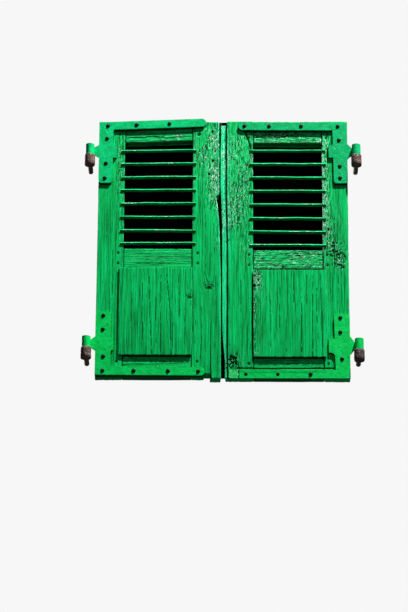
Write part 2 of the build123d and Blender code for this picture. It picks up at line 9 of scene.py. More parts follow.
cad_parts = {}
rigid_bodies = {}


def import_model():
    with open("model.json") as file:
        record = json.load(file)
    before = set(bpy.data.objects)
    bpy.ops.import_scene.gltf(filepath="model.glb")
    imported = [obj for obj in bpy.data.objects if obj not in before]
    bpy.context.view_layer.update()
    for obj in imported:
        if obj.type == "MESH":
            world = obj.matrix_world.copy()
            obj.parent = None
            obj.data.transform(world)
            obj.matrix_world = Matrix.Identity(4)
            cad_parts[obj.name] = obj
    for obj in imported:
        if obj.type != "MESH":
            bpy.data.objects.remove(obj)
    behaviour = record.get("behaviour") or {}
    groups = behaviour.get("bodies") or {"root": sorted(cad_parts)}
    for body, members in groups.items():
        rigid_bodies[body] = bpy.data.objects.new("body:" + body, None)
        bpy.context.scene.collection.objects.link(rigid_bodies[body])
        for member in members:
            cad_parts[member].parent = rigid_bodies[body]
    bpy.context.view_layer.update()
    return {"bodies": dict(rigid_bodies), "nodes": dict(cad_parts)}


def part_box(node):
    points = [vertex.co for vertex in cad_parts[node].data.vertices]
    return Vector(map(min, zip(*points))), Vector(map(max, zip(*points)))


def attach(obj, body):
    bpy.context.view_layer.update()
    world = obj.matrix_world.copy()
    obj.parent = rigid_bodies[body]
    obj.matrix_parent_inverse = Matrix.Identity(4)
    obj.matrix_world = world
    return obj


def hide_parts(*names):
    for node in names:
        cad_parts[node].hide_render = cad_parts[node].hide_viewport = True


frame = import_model()
print("frame loaded")

mm = 0.001
far = 99.0
sharpFrom = {"wood": 48, "copy": 60, "lathe": 50}

# Camera, at the photo's viewing angle: a long lens looking up from below
cameraAt = {
    "position": (0.0058, -9.5065, -4.379),
    "pitch": 23.967,
    "yaw": -0.392,
    "roll": 0.298,
    "focalPixels": 3286.0,
    "imageHeight": 612.0,
    "sensorHeight": 36.0,
}


def makeCamera(at):
    # forward from yaw and pitch, right = forward x up, then both turned by the roll
    pitch, yaw, roll = (math.radians(at[k]) for k in ("pitch", "yaw", "roll"))
    forward = Vector((math.sin(yaw) * math.cos(pitch), math.cos(yaw) * math.cos(pitch), math.sin(pitch)))
    right = forward.cross(Vector((0, 0, 1))).normalized()
    up = right.cross(forward)
    rolledRight = right * math.cos(roll) + up * math.sin(roll)
    rolledUp = up * math.cos(roll) - right * math.sin(roll)
    data = bpy.data.cameras.new("photoCamera")
    data.sensor_fit = "VERTICAL"
    data.sensor_height = at["sensorHeight"]
    data.sensor_width = at["sensorHeight"]
    data.lens = at["focalPixels"] / at["imageHeight"] * at["sensorHeight"]
    data.clip_start, data.clip_end = 0.1, 100
    camera = bpy.data.objects.new("photoCamera", data)
    bpy.context.collection.objects.link(camera)
    turn = Matrix((rolledRight, rolledUp, -forward)).transposed().to_4x4()
    camera.matrix_world = Matrix.Translation(at["position"]) @ turn
    bpy.context.scene.camera = camera


makeCamera(cameraAt)


# Node helpers
def setInput(tree, socket, value):
    # a socket is linked, a plain value is set
    if isinstance(value, bpy.types.NodeSocket):
        tree.links.new(value, socket)
    else:
        socket.default_value = value


def addNode(tree, kind, inputs=None, **settings):
    # one node, with its settings first and then its inputs by name
    node = tree.nodes.new(kind)
    for key, value in settings.items():
        setattr(node, key, value)
    for key, value in (inputs or {}).items():
        setInput(tree, node.inputs[key], value)
    return node


def newGroup(name, inputs, outputs):
    # a node group with its named inputs and outputs
    group = bpy.data.node_groups.new(name, "ShaderNodeTree")
    for label, kind, value in inputs:
        socket = group.interface.new_socket(label, in_out="INPUT", socket_type=kind)
        if value is not None:
            socket.default_value = value
    for label, kind in outputs:
        group.interface.new_socket(label, in_out="OUTPUT", socket_type=kind)
    return group, group.nodes.new("NodeGroupInput").outputs, group.nodes.new("NodeGroupOutput").inputs


def mixColour(tree, factor, first, second):
    # first where the factor is 0, second where it is 1
    node = addNode(tree, "ShaderNodeMix", data_type="RGBA")
    for index, value in ((0, factor), (6, first), (7, second)):
        setInput(tree, node.inputs[index], value)
    return node.outputs[2]


def mathNode(tree, operation, first, second=0.0, clamp=False):
    # one operation on two numbers or sockets
    node = addNode(tree, "ShaderNodeMath", operation=operation, use_clamp=clamp)
    setInput(tree, node.inputs[0], first)
    setInput(tree, node.inputs[1], second)
    return node.outputs[0]


def plus(tree, first, second, clamp=False):
    # first + second
    return mathNode(tree, "ADD", first, second, clamp)


def minus(tree, first, second, clamp=False):
    # first - second
    return mathNode(tree, "SUBTRACT", first, second, clamp)


def times(tree, first, second, clamp=False):
    # first * second
    return mathNode(tree, "MULTIPLY", first, second, clamp)


def ramp(tree, value, low, high, first=0.0, last=1.0):
    # smooth step from first to last while the value goes from low to high
    inputs = {"Value": value, "From Min": low, "From Max": high, "To Min": first, "To Max": last}
    return addNode(tree, "ShaderNodeMapRange", inputs, interpolation_type="SMOOTHSTEP").outputs["Result"]


def noiseNode(tree, vector, stretch, scale, detail, roughness, shift=0.0):
    # noise of a vector that is stretched and shifted first
    placed = {"Vector": vector, "Scale": stretch, "Location": (shift, shift, shift)}
    mapping = addNode(tree, "ShaderNodeMapping", placed)
    inputs = {"Vector": mapping.outputs[0], "Scale": scale, "Detail": detail, "Roughness": roughness}
    return addNode(tree, "ShaderNodeTexNoise", inputs).outputs["Fac"]


def noiseNodes(tree, vector, given):
    # one noise for each line of stretch, scale, detail, roughness and shift
    return [noiseNode(tree, vector, *values) for values in given.values()]


def overLimit(tree, noise, limit, amount, fall):
    # 1 where the noise is over limit - fall * amount, fading in over the next 0.03
    start = minus(tree, limit, times(tree, amount, fall))
    return ramp(tree, noise, start, plus(tree, start, 0.03))


def linear(value):
    # written colour to linear light: ((c + 0.055) / 1.055) to the power 2.4
    value /= 255
    return value / 12.92 if value <= 0.04045 else ((value + 0.055) / 1.055) ** 2.4


def rgb(red, green, blue):
    # three written values from 0 to 255 as one linear colour
    return (linear(red), linear(green), linear(blue), 1.0)


# Light: a hard lamp high on the right in front, a broad one behind for the backs, and an even pale surround
lightAt = {
    "lamps": {
        "keyLight": {"towards": (6.0, -5.0, 17.0), "distance": 4.5, "size": 0.17, "power": 750.0},
        "backLight": {"towards": (-2.5, 5.0, 2.6), "distance": 6.2, "size": 1.4, "power": 400.0},
    },
    "fill": 0.16,
    "backdrop": 0.93,
}


def emptyTree(owner):
    # the node tree of a material or a world, with nothing in it yet
    owner.use_nodes = True
    owner.node_tree.nodes.clear()
    return owner.node_tree


def mixShaders(tree, outputKind, factor, first, second):
    # the first shader where the factor is 0, the second where it is 1
    mix = addNode(tree, "ShaderNodeMixShader", {"Fac": factor})
    tree.links.new(first.outputs[0], mix.inputs[1])
    tree.links.new(second.outputs[0], mix.inputs[2])
    tree.links.new(mix.outputs[0], addNode(tree, outputKind).inputs["Surface"])


def makeLight(at):
    # each lamp stands at its distance along its unit direction and looks back at the origin
    for name, given in at["lamps"].items():
        direction = Vector(given["towards"]).normalized()
        data = bpy.data.lights.new(name, "AREA")
        data.shape, data.size, data.energy = "DISK", given["size"], given["power"]
        lamp = bpy.data.objects.new(name, data)
        lamp.location = direction * given["distance"]
        lamp.rotation_euler = direction.to_track_quat("Z", "Y").to_euler()
        lamp.visible_camera = False
        bpy.context.collection.objects.link(lamp)

    world = bpy.data.worlds.new("paleWorld")
    bpy.context.scene.world = world
    tree = emptyTree(world)
    white = (1, 1, 1, 1)
    fill = addNode(tree, "ShaderNodeBackground", {"Color": white, "Strength": at["fill"]})
    pale = addNode(tree, "ShaderNodeBackground", {"Color": white, "Strength": at["backdrop"]})
    path = addNode(tree, "ShaderNodeLightPath").outputs
    seen = mathNode(tree, "MAXIMUM", path["Is Camera Ray"], path["Is Transmission Ray"])
    mixShaders(tree, "ShaderNodeOutputWorld", seen, fill, pale)


def stageSheet(name, materialName, corners):
    # one flat four-cornered sheet with an empty material
    mesh = bpy.data.meshes.new(name)
    mesh.from_pydata(corners, [], [(0, 1, 2, 3)])
    sheet = bpy.data.objects.new(name, mesh)
    bpy.context.collection.objects.link(sheet)
    material = bpy.data.materials.new(materialName)
    mesh.materials.append(material)
    return sheet, emptyTree(material)


floorAt = {"height": -5.6, "half": 40.0, "bounce": 0.22, "seen": (0.80, 0.79, 0.77)}


def makeFloor(at):
    # a level square: pale where it is looked at, darker for the light that it throws back
    half, height, bounce = at["half"], at["height"], at["bounce"]
    corners = [(-half, -half, height), (half, -half, height), (half, half, height), (-half, half, height)]
    floor, tree = stageSheet("paleFloor", "paleFloor", corners)
    matt = addNode(tree, "ShaderNodeBsdfDiffuse", {"Color": (bounce, bounce, bounce, 1)})
    pale = addNode(tree, "ShaderNodeEmission", {"Color": (*at["seen"], 1)})
    seen = addNode(tree, "ShaderNodeLightPath").outputs["Is Camera Ray"]
    mixShaders(tree, "ShaderNodeOutputMaterial", seen, matt, pale)


makeLight(lightAt)
makeFloor(floorAt)
bpy.context.scene.view_settings.view_transform = "Standard"
print("camera, light and floor made")

# Painted shade for the unlit room behind the leaves, in metres: a black card on each leaf's back, and two
# narrow ones in front, in the notch above the sunk strip and in the gap beside it
shadeCards = [
    ("left_leaf", {"left": -0.392, "right": -0.0012, "low": -0.402, "high": 0.476, "y": 0.0006}),
    ("right_leaf", {"left": -0.0042, "right": 0.392, "low": -0.402, "high": 0.476, "y": 0.0006}),
    ("right_leaf", {"left": -0.0070, "right": 0.0122, "low": 0.472, "high": 0.4829, "y": -0.0305}),
    ("left_leaf", {"left": -0.0132, "right": -0.0072, "low": 0.455, "high": 0.4829, "y": -0.0305}),
]


def makeShadeCard(body, at):
    # painted shade: a sheet that is black where "looked at" minus "from behind" is 1, and clear to all light
    left, right, low, high, y = at["left"], at["right"], at["low"], at["high"], at["y"]
    corners = [(left, y, low), (right, y, low), (right, y, high), (left, y, high)]
    card, tree = stageSheet("darkCard_" + body, "darkRoom", corners)
    card.parent = frame["bodies"][body]
    clear = addNode(tree, "ShaderNodeBsdfTransparent")
    black = addNode(tree, "ShaderNodeBsdfDiffuse", {"Color": (0, 0, 0, 1)})
    seen = addNode(tree, "ShaderNodeLightPath").outputs["Is Camera Ray"]
    behind = addNode(tree, "ShaderNodeNewGeometry").outputs["Backfacing"]
    mixShaders(tree, "ShaderNodeOutputMaterial", minus(tree, seen, behind, True), clear, black)


for bodyName, cardAt in shadeCards:
    makeShadeCard(bodyName, cardAt)
print("dark cards made")


# Weathered paint on wood. The vector is in millimetres: across the grain, into the board, along the grain
paintAt = {
    "fresh": rgb(2, 182, 90),
    "dull": rgb(2, 164, 78),
    "bright": rgb(3, 206, 116),
    "mint": rgb(84, 214, 156),
    "white": rgb(200, 236, 210),
    "bare": rgb(150, 150, 104),
    "grime": rgb(2, 62, 26),
    # near black for cracks, pits, knot hearts and rot, and for painted shade under straps, at the step, on
    # undersides and slats
    "crack": rgb(1, 10, 3),
    # pale mint of painted highlights on arrises, the lit strip and lit slat tops
    "bleached": rgb(36, 226, 152),
    # stretch, scale, detail, roughness, shift
    "noises": {
        "broad": ((1.0, 1.0, 0.22), 0.022, 3.0, 0.55),
        "streak": ((1.0, 1.0, 0.025), 0.24, 2.0, 0.6, 17.0),
        "fine": ((1.0, 1.0, 0.04), 0.62, 2.0, 0.6, 41.0),
        "flake": ((1.0, 1.0, 0.32), 0.40, 2.0, 0.6, 73.0),
        "pit": ((1.0, 1.0, 0.36), 0.42, 2.0, 0.55, 131.0),
        "mottle": ((1.0, 1.0, 0.15), 0.31, 2.0, 0.6, 157.0),
        "tint": ((1.0, 1.0, 0.5), 0.16, 1.0, 0.5, 193.0),
    },
    # the two values of a noise between which a colour fades in
    "freshFade": (0.36, 0.64),
    "lightStreakFade": (0.47, 0.36),
    "darkStreakFade": (0.53, 0.70),
    "fineStreakFade": (0.55, 0.70),
    "paleMottleFade": (0.54, 0.61),
    "darkMottleFade": (0.48, 0.40),
    "whiteFade": (0.44, 0.58),
    "bareFade": (0.37, 0.31),
    # the same two values, and then the shares it fades from and to
    "bleachFade": (0.64, 0.44, 0.35, 1.0),
    "grimeFade": (0.30, 0.62, 1.0, 0.6),
    # worn paint: the wear at which mottling starts, its gain, and how much of the pale mottle shows
    "mottleFrom": 0.16,
    "mottleGain": 2.0,
    "paleShare": 0.5,
    # limits for a noise, and how far the wear lowers them
    "fleckLimit": 0.785,
    "fleckFall": 0.28,
    "pitLimit": 0.77,
    "pitFall": 0.22,
    "pitShare": 0.85,
    "roughness": 0.58,
    "fleckRoughness": 0.25,
    "heights": {"streak": -1.2, "fine": -0.7, "fleck": -0.30, "pit": -0.55},
}


def makeWeatheredPaint(at):
    # layers of colour, each mixed in where its noise passes a limit
    group, given, result = newGroup(
        "weatheredPaint",
        [
            ("Vector", "NodeSocketVector", None),
            ("Wear", "NodeSocketFloat", 0.0), ("Crack", "NodeSocketFloat", 0.0),
            ("Grime", "NodeSocketFloat", 0.0), ("Bleach", "NodeSocketFloat", 0.0),
            ("Fresh", "NodeSocketColor", at["fresh"]), ("Dull", "NodeSocketColor", at["dull"]),
            ("Streaks", "NodeSocketFloat", 0.5),
        ],
        [("Color", "NodeSocketColor"), ("Roughness", "NodeSocketFloat"), ("Height", "NodeSocketFloat")],
    )
    wear, streaks = given["Wear"], given["Streaks"]
    broad, streak, fine, flake, pit, mottle, tint = noiseNodes(group, given["Vector"], at["noises"])

    paint = mixColour(group, ramp(group, broad, *at["freshFade"]), given["Dull"], given["Fresh"])
    lightStreak = times(group, ramp(group, streak, *at["lightStreakFade"]), streaks)
    paint = mixColour(group, lightStreak, paint, at["bright"])
    darkStreak = times(group, ramp(group, streak, *at["darkStreakFade"]), streaks)
    paint = mixColour(group, darkStreak, paint, at["grime"])
    fineStreak = times(group, ramp(group, fine, *at["fineStreakFade"]), streaks)
    paint = mixColour(group, fineStreak, paint, at["grime"])

    # worn paint is mottled pale and dark
    spread = times(group, minus(group, wear, at["mottleFrom"]), at["mottleGain"], clamp=True)
    paleSpread = times(group, spread, at["paleShare"])
    paleMottle = times(group, ramp(group, mottle, *at["paleMottleFade"]), paleSpread)
    paint = mixColour(group, paleMottle, paint, at["mint"])
    darkMottle = times(group, ramp(group, mottle, *at["darkMottleFade"]), spread)
    paint = mixColour(group, darkMottle, paint, at["grime"])
    # painted highlight where edges and faces catch the light
    bleach = times(group, given["Bleach"], ramp(group, fine, *at["bleachFade"]), clamp=True)
    paint = mixColour(group, bleach, paint, at["bleached"])

    # flecks and pits where a noise passes a limit that falls as the wear grows
    fleck = overLimit(group, flake, at["fleckLimit"], wear, at["fleckFall"])
    pale = mixColour(group, ramp(group, tint, *at["whiteFade"]), at["mint"], at["white"])
    pale = mixColour(group, ramp(group, tint, *at["bareFade"]), pale, at["bare"])
    paint = mixColour(group, fleck, paint, pale)
    pitMask = overLimit(group, pit, at["pitLimit"], wear, at["pitFall"])
    paint = mixColour(group, times(group, pitMask, at["pitShare"]), paint, at["grime"])
    grimeMask = times(group, given["Grime"], ramp(group, broad, *at["grimeFade"]), clamp=True)
    paint = mixColour(group, grimeMask, paint, at["grime"])
    # near black at cracks and holes, and as painted shade
    paint = mixColour(group, given["Crack"], paint, at["crack"])
    group.links.new(paint, result["Color"])

    rough = plus(group, at["roughness"], times(group, fleck, at["fleckRoughness"]), clamp=True)
    group.links.new(rough, result["Roughness"])
    heights = at["heights"]
    height = plus(group, times(group, streak, heights["streak"]), times(group, fine, heights["fine"]))
    height = plus(group, height, times(group, fleck, heights["fleck"]))
    height = plus(group, height, times(group, pitMask, heights["pit"]))
    group.links.new(height, result["Height"])
    return group


weatheredPaint = makeWeatheredPaint(paintAt)

# Thick paint on iron that has lost its gloss
ironPaintAt = {
    "fresh": rgb(2, 186, 110),
    "dull": rgb(2, 164, 90),
    "chip": rgb(130, 230, 180),
    "grime": rgb(2, 104, 52),
    "seam": rgb(1, 52, 20),
    "noises": {
        "broad": ((1.0, 1.0, 1.0), 45.0, 3.0, 0.6),
        "lumps": ((1.0, 1.0, 1.0), 110.0, 3.0, 0.6, 9.0),
        "specks": ((1.0, 1.0, 1.0), 330.0, 2.0, 0.6, 31.0),
    },
    "freshFade": (0.38, 0.62),
    "grimeFade": (0.60, 0.72),
    "grimeShare": 0.45,
    # in metres from the seam: how far past it the paler side starts, and how wide the dark line is
    "beyondFade": (0.0004, -0.0004),
    "beyondShare": 0.04,
    "seamFade": (0.0032, 0.0018, 0.0, 0.85),
    # the limit for a chip, how far the chips and the paler side lower it
    "chipLimit": 0.80,
    "chipFall": 0.2,
    "beyondFall": 0.13,
    "roughness": 0.42,
    "broadRoughness": 0.18,
    "speckHeight": 0.15,
    "chipDepth": 0.12,
}
noSeam = -9.0


def makeThickPaint(at):
    # two greens by a broad noise, then dirt, the seam and chips, each where its own noise passes a limit
    group, given, result = newGroup(
        "thickPaint",
        [
            ("Vector", "NodeSocketVector", None),
            ("Chips", "NodeSocketFloat", 0.3), ("Seam", "NodeSocketFloat", noSeam),
            ("Fresh", "NodeSocketColor", at["fresh"]), ("Dull", "NodeSocketColor", at["dull"]),
        ],
        [("Color", "NodeSocketColor"), ("Roughness", "NodeSocketFloat"), ("Height", "NodeSocketFloat")],
    )
    vector = given["Vector"]
    broad, lumps, specks = noiseNodes(group, vector, at["noises"])
    paint = mixColour(group, ramp(group, broad, *at["freshFade"]), given["Dull"], given["Fresh"])
    grimeMask = times(group, ramp(group, lumps, *at["grimeFade"]), at["grimeShare"])
    paint = mixColour(group, grimeMask, paint, at["grime"])
    # past the seam, towards the leaf's middle, the paint is paler and more chipped
    across = addNode(group, "ShaderNodeSeparateXYZ", {"Vector": vector}).outputs["X"]
    toSeam = minus(group, across, given["Seam"])
    beyond = ramp(group, toSeam, *at["beyondFade"])
    paint = mixColour(group, times(group, beyond, at["beyondShare"]), paint, at["chip"])
    seamMask = ramp(group, mathNode(group, "ABSOLUTE", toSeam), *at["seamFade"])
    paint = mixColour(group, seamMask, paint, at["seam"])
    limit = minus(group, at["chipLimit"], times(group, given["Chips"], at["chipFall"]))
    chip = overLimit(group, specks, limit, beyond, at["beyondFall"])
    paint = mixColour(group, chip, paint, at["chip"])
    group.links.new(paint, result["Color"])
    rough = plus(group, at["roughness"], times(group, broad, at["broadRoughness"]))
    group.links.new(rough, result["Roughness"])
    height = plus(group, lumps, times(group, specks, at["speckHeight"]))
    group.links.new(minus(group, height, times(group, chip, at["chipDepth"])), result["Height"])
    return group


thickPaint = makeThickPaint(ironPaintAt)

# Rust on bare iron
rustAt = {
    "iron": rgb(62, 54, 52),
    "rust": rgb(88, 60, 50),
    "pale": rgb(160, 148, 138),
    "dark": rgb(16, 13, 12),
    "noises": {
        "broad": ((1.0, 1.0, 1.0), 70.0, 4.0, 0.62),
        "pits": ((1.0, 1.0, 1.0), 260.0, 4.0, 0.65, 5.0),
    },
    # the limit for rust, how far the given rust lowers it, and how soft the border is
    "limit": 0.70,
    "fall": 0.4,
    "border": 0.08,
    "paleFade": (0.56, 0.66),
    "darkFade": (0.44, 0.34),
    "roughness": (0.3, 0.7, 0.62, 0.9),
    "metal": (0.0, 1.0, 0.55, 0.0),
    "broadHeight": 0.8,
}


def makeRust(at):
    # iron turns to rust where the broad noise passes a limit, with pale and dark pits on both
    group, given, result = newGroup(
        "rustyIron",
        [("Vector", "NodeSocketVector", None), ("Rust", "NodeSocketFloat", 0.5)],
        [
            ("Color", "NodeSocketColor"), ("Roughness", "NodeSocketFloat"), ("Metal", "NodeSocketFloat"),
            ("Height", "NodeSocketFloat"),
        ],
    )
    broad, pits = noiseNodes(group, given["Vector"], at["noises"])
    limit = minus(group, at["limit"], times(group, given["Rust"], at["fall"]))
    rustMask = ramp(group, broad, minus(group, limit, at["border"]), plus(group, limit, at["border"]))
    colour = mixColour(group, rustMask, at["iron"], at["rust"])
    colour = mixColour(group, ramp(group, pits, *at["paleFade"]), colour, at["pale"])
    colour = mixColour(group, ramp(group, pits, *at["darkFade"]), colour, at["dark"])
    group.links.new(colour, result["Color"])
    group.links.new(ramp(group, broad, *at["roughness"]), result["Roughness"])
    group.links.new(ramp(group, rustMask, *at["metal"]), result["Metal"])
    group.links.new(plus(group, pits, times(group, broad, at["broadHeight"])), result["Height"])
    return group


rustyIron = makeRust(rustAt)


def startMaterial(name):
    # a new material with its tree and its shader
    material = bpy.data.materials.new(name)
    material.use_nodes = True
    return material, material.node_tree, material.node_tree.nodes["Principled BSDF"]


def attribute(tree, name, output="Fac"):
    # a value that is kept on the mesh's points
    return addNode(tree, "ShaderNodeAttribute", attribute_name=name).outputs[output]


def connectSurface(tree, shader, group, bump, specular):
    # the group's colour, roughness and metal drive the shader, and its height bends the normal
    height = group.outputs["Height"]
    relief = addNode(tree, "ShaderNodeBump", {"Strength": 1.0, "Distance": bump, "Height": height})
    tree.links.new(relief.outputs[0], shader.inputs["Normal"])
    for label, socket in (("Color", "Base Color"), ("Roughness", "Roughness"), ("Metal", "Metallic")):
        if group.outputs.get(label):
            tree.links.new(group.outputs[label], shader.inputs[socket])
    shader.inputs["Specular IOR Level"].default_value = specular


def paintedWoodMaterial(name, streaks, bump):
    # weathered paint that follows each board's own grain and the marks kept on its points
    material, tree, shader = startMaterial(name)
    inputs = {"Vector": attribute(tree, "grain", "Vector"), "Streaks": streaks}
    for label in ("wear", "crack", "grime", "bleach"):
        inputs[label.capitalize()] = attribute(tree, label)
    group = addNode(tree, "ShaderNodeGroup", inputs, node_tree=weatheredPaint)
    connectSurface(tree, shader, group, bump, 0.02)
    return material


def paintedIronMaterial(name, chips, bump, specular=0.03, colours=(), seam=noSeam):
    # thick paint over the piece's own coordinates, in its own two greens where they are given
    material, tree, shader = startMaterial(name)
    position = addNode(tree, "ShaderNodeTexCoord").outputs["Object"]
    inputs = {"Vector": position, "Chips": chips, "Seam": seam}
    inputs.update(zip(("Fresh", "Dull"), colours))
    group = addNode(tree, "ShaderNodeGroup", inputs, node_tree=thickPaint)
    connectSurface(tree, shader, group, bump, specular)
    return material


def rustyIronMaterial(name, rust, bump):
    # rust over the piece's own coordinates
    material, tree, shader = startMaterial(name)
    position = addNode(tree, "ShaderNodeTexCoord").outputs["Object"]
    group = addNode(tree, "ShaderNodeGroup", {"Vector": position, "Rust": rust}, node_tree=rustyIron)
    connectSurface(tree, shader, group, bump, 0.3)
    return material


stileWood = paintedWoodMaterial("paintedStileWood", streaks=0.66, bump=0.0013)
railWood = paintedWoodMaterial("paintedRailWood", streaks=0.92, bump=0.0015)
panelWood = paintedWoodMaterial("paintedPanelWood", streaks=0.68, bump=0.0012)
slatWood = paintedWoodMaterial("paintedSlatWood", streaks=0.40, bump=0.0010)
upperRightGreens = (rgb(2, 164, 98), rgb(2, 150, 84))
lowGreens = (rgb(2, 200, 90), rgb(2, 184, 78))
strapPaints = {
    "left_top": paintedIronMaterial("paintedStrapIron", chips=0.50, bump=0.0010),
    "right_top": paintedIronMaterial(
        "paintedUpperRightStrapIron", chips=0.62, bump=0.0010, colours=upperRightGreens
    ),
    "left_bottom": paintedIronMaterial("paintedLowStrapIron", chips=0.40, bump=0.0010, colours=lowGreens),
    "right_bottom": paintedIronMaterial(
        "paintedSeamStrapIron", chips=0.45, bump=0.0010, colours=lowGreens, seam=0.0505
    ),
}
# painted shade: the heads are near black, as dark as their shaded sides and cast shadows
boltShadePaint = paintedIronMaterial("darkBoltHeads", 0.02, 0.0004, 0.07, (rgb(0, 22, 9), rgb(0, 12, 4)))
pegPaint = paintedIronMaterial("paintedPegEnds", 0.10, 0.0004, 0.02, (rgb(2, 70, 32), rgb(1, 40, 16)))
backPaint = paintedIronMaterial("paintedNuts", chips=0.35, bump=0.0003)
pintleIron = rustyIronMaterial("rustyPintleIron", rust=0.50, bump=0.0012)
darkPintleIron = rustyIronMaterial("darkPintleIron", rust=0.05, bump=0.0012)
latchIron = rustyIronMaterial("wornLatchIron", rust=0.35, bump=0.0004)
print("materials made")


# Smooth noise worked out for whole arrays of points
def cornerNumber(ix, iy, iz, seed):
    # one fixed number from 0 to 1 for each whole-number corner, mixed from its indices and the seed
    mixed = (ix * 374761393 + iy * 668265263 + iz * 1440662683 + seed * 1274126177) & 0xFFFFFFFF
    mixed = ((mixed ^ (mixed >> 13)) * 1274126177) & 0xFFFFFFFF
    return ((mixed ^ (mixed >> 16)) & 0xFFFF) / 65535.0


def softNoise(x, y, z, seed):
    # corner numbers of a unit grid blended with weights 3t^2 - 2t^3, spread over -1 to 1
    place = [np.asarray(v, float) for v in np.broadcast_arrays(x, y, z)]
    base = [np.floor(v).astype(np.int64) for v in place]
    weight = [(v - b) ** 2 * (3 - 2 * (v - b)) for v, b in zip(place, base)]
    total = np.zeros(place[0].shape)
    for dx in (0, 1):
        for dy in (0, 1):
            for dz in (0, 1):
                share = 1.0
                for w, d in zip(weight, (dx, dy, dz)):
                    share = share * (w if d else 1 - w)
                total += share * cornerNumber(base[0] + dx, base[1] + dy, base[2] + dz, seed)
    return total * 2 - 1


def waves(a, l, size, seed):
    # noise over a board's face, its waves as wide and as long as size says, in millimetres
    wide, long = size
    return softNoise(a / wide, 0, l / long, seed)


def wander(place, length, seed):
    # noise along a line, with waves of one length in millimetres
    return softNoise(place / length, 0, 0, seed)


def stretchDistance(a, l, start, end):
    # distance to one straight stretch, and how far along it the nearest spot is, from 0 to 1
    (a0, l0), (a1, l1) = start, end
    length2 = max((a1 - a0) ** 2 + (l1 - l0) ** 2, 1e-9)
    share = np.clip(((a - a0) * (a1 - a0) + (l - l0) * (l1 - l0)) / length2, 0, 1)
    return np.hypot(a - a0 - share * (a1 - a0), l - l0 - share * (l1 - l0)), share


def lineDistance(a, l, points):
    # distance to the nearest stretch of a broken line, and how far along the line that is, from 0 to 1
    best = np.full(a.shape, 1e9)
    along = np.zeros(a.shape)
    stretches = list(zip(points[:-1], points[1:]))
    for number, (start, end) in enumerate(stretches):
        reach, share = stretchDistance(a, l, start, end)
        nearer = reach < best
        best = np.where(nearer, reach, best)
        along = np.where(nearer, (number + share) / len(stretches), along)
    return best, along


def placeColumns(left, right, count, radius):
    # columns across a zone: close together where its two edges are rounded, even in between
    fine = np.array([0.0, 0.10, 0.32, 0.62, 1.0]) * radius
    width = right - left
    k = np.minimum(1.0, width / (3.0 * radius))[:, None]
    low = left[:, None] + fine[None, :] * k
    high = right[:, None] - fine[None, ::-1] * k
    share = np.linspace(0, 1, count + 2)[None, 1:-1]
    inner = low[:, -1:] + (high[:, :1] - low[:, -1:]) * share
    return np.concatenate([low, inner, high], 1)


# Raised grain, in millimetres: how wide and how long the waves of each noise are, and how deep it goes
grainAt = {
    "sway": {"size": (60, 130), "deep": 2.2},
    "layers": [
        {"size": (3.6, 95), "deep": 0.22},
        {"size": (8.5, 190), "deep": 0.24},
        {"size": (26, 260), "deep": 0.30},
    ],
    "back": {"wide": 4.5, "long": 110, "deep": 0.35},
    "side": {"wide": 4.0, "long": 90, "deep": 0.25, "taper": 0.3},
}


def grainRelief(a, l, at):
    # deep * (1 + noise) for each layer, with the place across shifted by a slow wander, all pressed inwards
    seed, sway = at["seed"], grainAt["sway"]
    shifted = a + sway["deep"] * waves(a, l, sway["size"], seed + 3)
    relief = np.zeros(a.shape)
    for number, layer in enumerate(grainAt["layers"]):
        relief += layer["deep"] * (1 + waves(shifted, l, layer["size"], seed + number))
    return at["relief"] * relief


def nodePoints(node):
    # a CAD node's mesh, and its points in millimetres
    data = frame["nodes"][node].data
    points = np.empty(len(data.vertices) * 3)
    data.vertices.foreach_get("co", points)
    return data, points.reshape(-1, 3) / mm


# Lower edge of each arm, from its start to its end, and the foot of each upper leg, below which shadow is
# painted
strapEdgesAt = [
    {"x": (-356, -62), "z": (451.1, 465.2)},
    {"x": (-400, -62), "z": (-405.9, -407.9)},
    {"x": (63, 354), "z": (451.1, 452.1)},
    {"x": (-399, -357), "z": (261.1, 261.1)},
    {"x": (356, 399), "z": (261.1, 261.1)},
]
plateBack = -36.0


def plateOutline(node):
    # sides used by one triangle only among those of the plate's back, as pairs of (x, z) points
    data, points = nodePoints(node)
    data.calc_loop_triangles()
    corners = np.empty(len(data.loop_triangles) * 3, np.int32)
    data.loop_triangles.foreach_get("vertices", corners)
    corners = corners.reshape(-1, 3)
    flat = np.abs(points[corners][:, :, 1] - plateBack).max(1) < 0.05
    keys, merged = np.unique(np.round(points[:, (0, 2)], 2), axis=0, return_inverse=True)
    triangles = merged.reshape(-1)[corners[flat]]
    sides = np.sort(np.concatenate([triangles[:, (0, 1)], triangles[:, (1, 2)], triangles[:, (2, 0)]]), 1)
    sides, uses = np.unique(sides, axis=0, return_counts=True)
    return keys[sides[uses == 1]]


strapOutlines = {
    leaf: np.concatenate([plateOutline(f"{leaf}_{level}_hinge") for level in ("top", "bottom")])
    for leaf in ("left", "right")
}
print("strap outlines", {leaf: len(outline) for leaf, outline in strapOutlines.items()})


# Painted shadow at the straps, in millimetres: beside their outline, and under their lower edges
strapShadowAt = {"shift": 0.9, "gone": 2.2, "fade": 1.1, "dark": 0.88}
underStrapShadowAt = {
    "above": 4.0, "fadeAbove": 1.0, "below": 7.5, "fadeBelow": 2.5, "fadeEnds": 2.0, "dark": 0.92,
}


def fadeIn(distance, width):
    # 0 at distance 0 and 1 at the width
    return np.clip(distance / width, 0, 1)


def shadowBesideStraps(x, z, leaf):
    # painted shadow: near black within 1.1 mm of a strap's outline moved down and to the left, gone at 2.2 mm
    at = strapShadowAt
    best = np.full(x.shape, far)
    shiftedX, shiftedZ = x + at["shift"], z + at["shift"]
    for start, end in strapOutlines[leaf]:
        best = np.minimum(best, stretchDistance(shiftedX, shiftedZ, start, end)[0])
    return at["dark"] * fadeIn(at["gone"] - best, at["fade"])


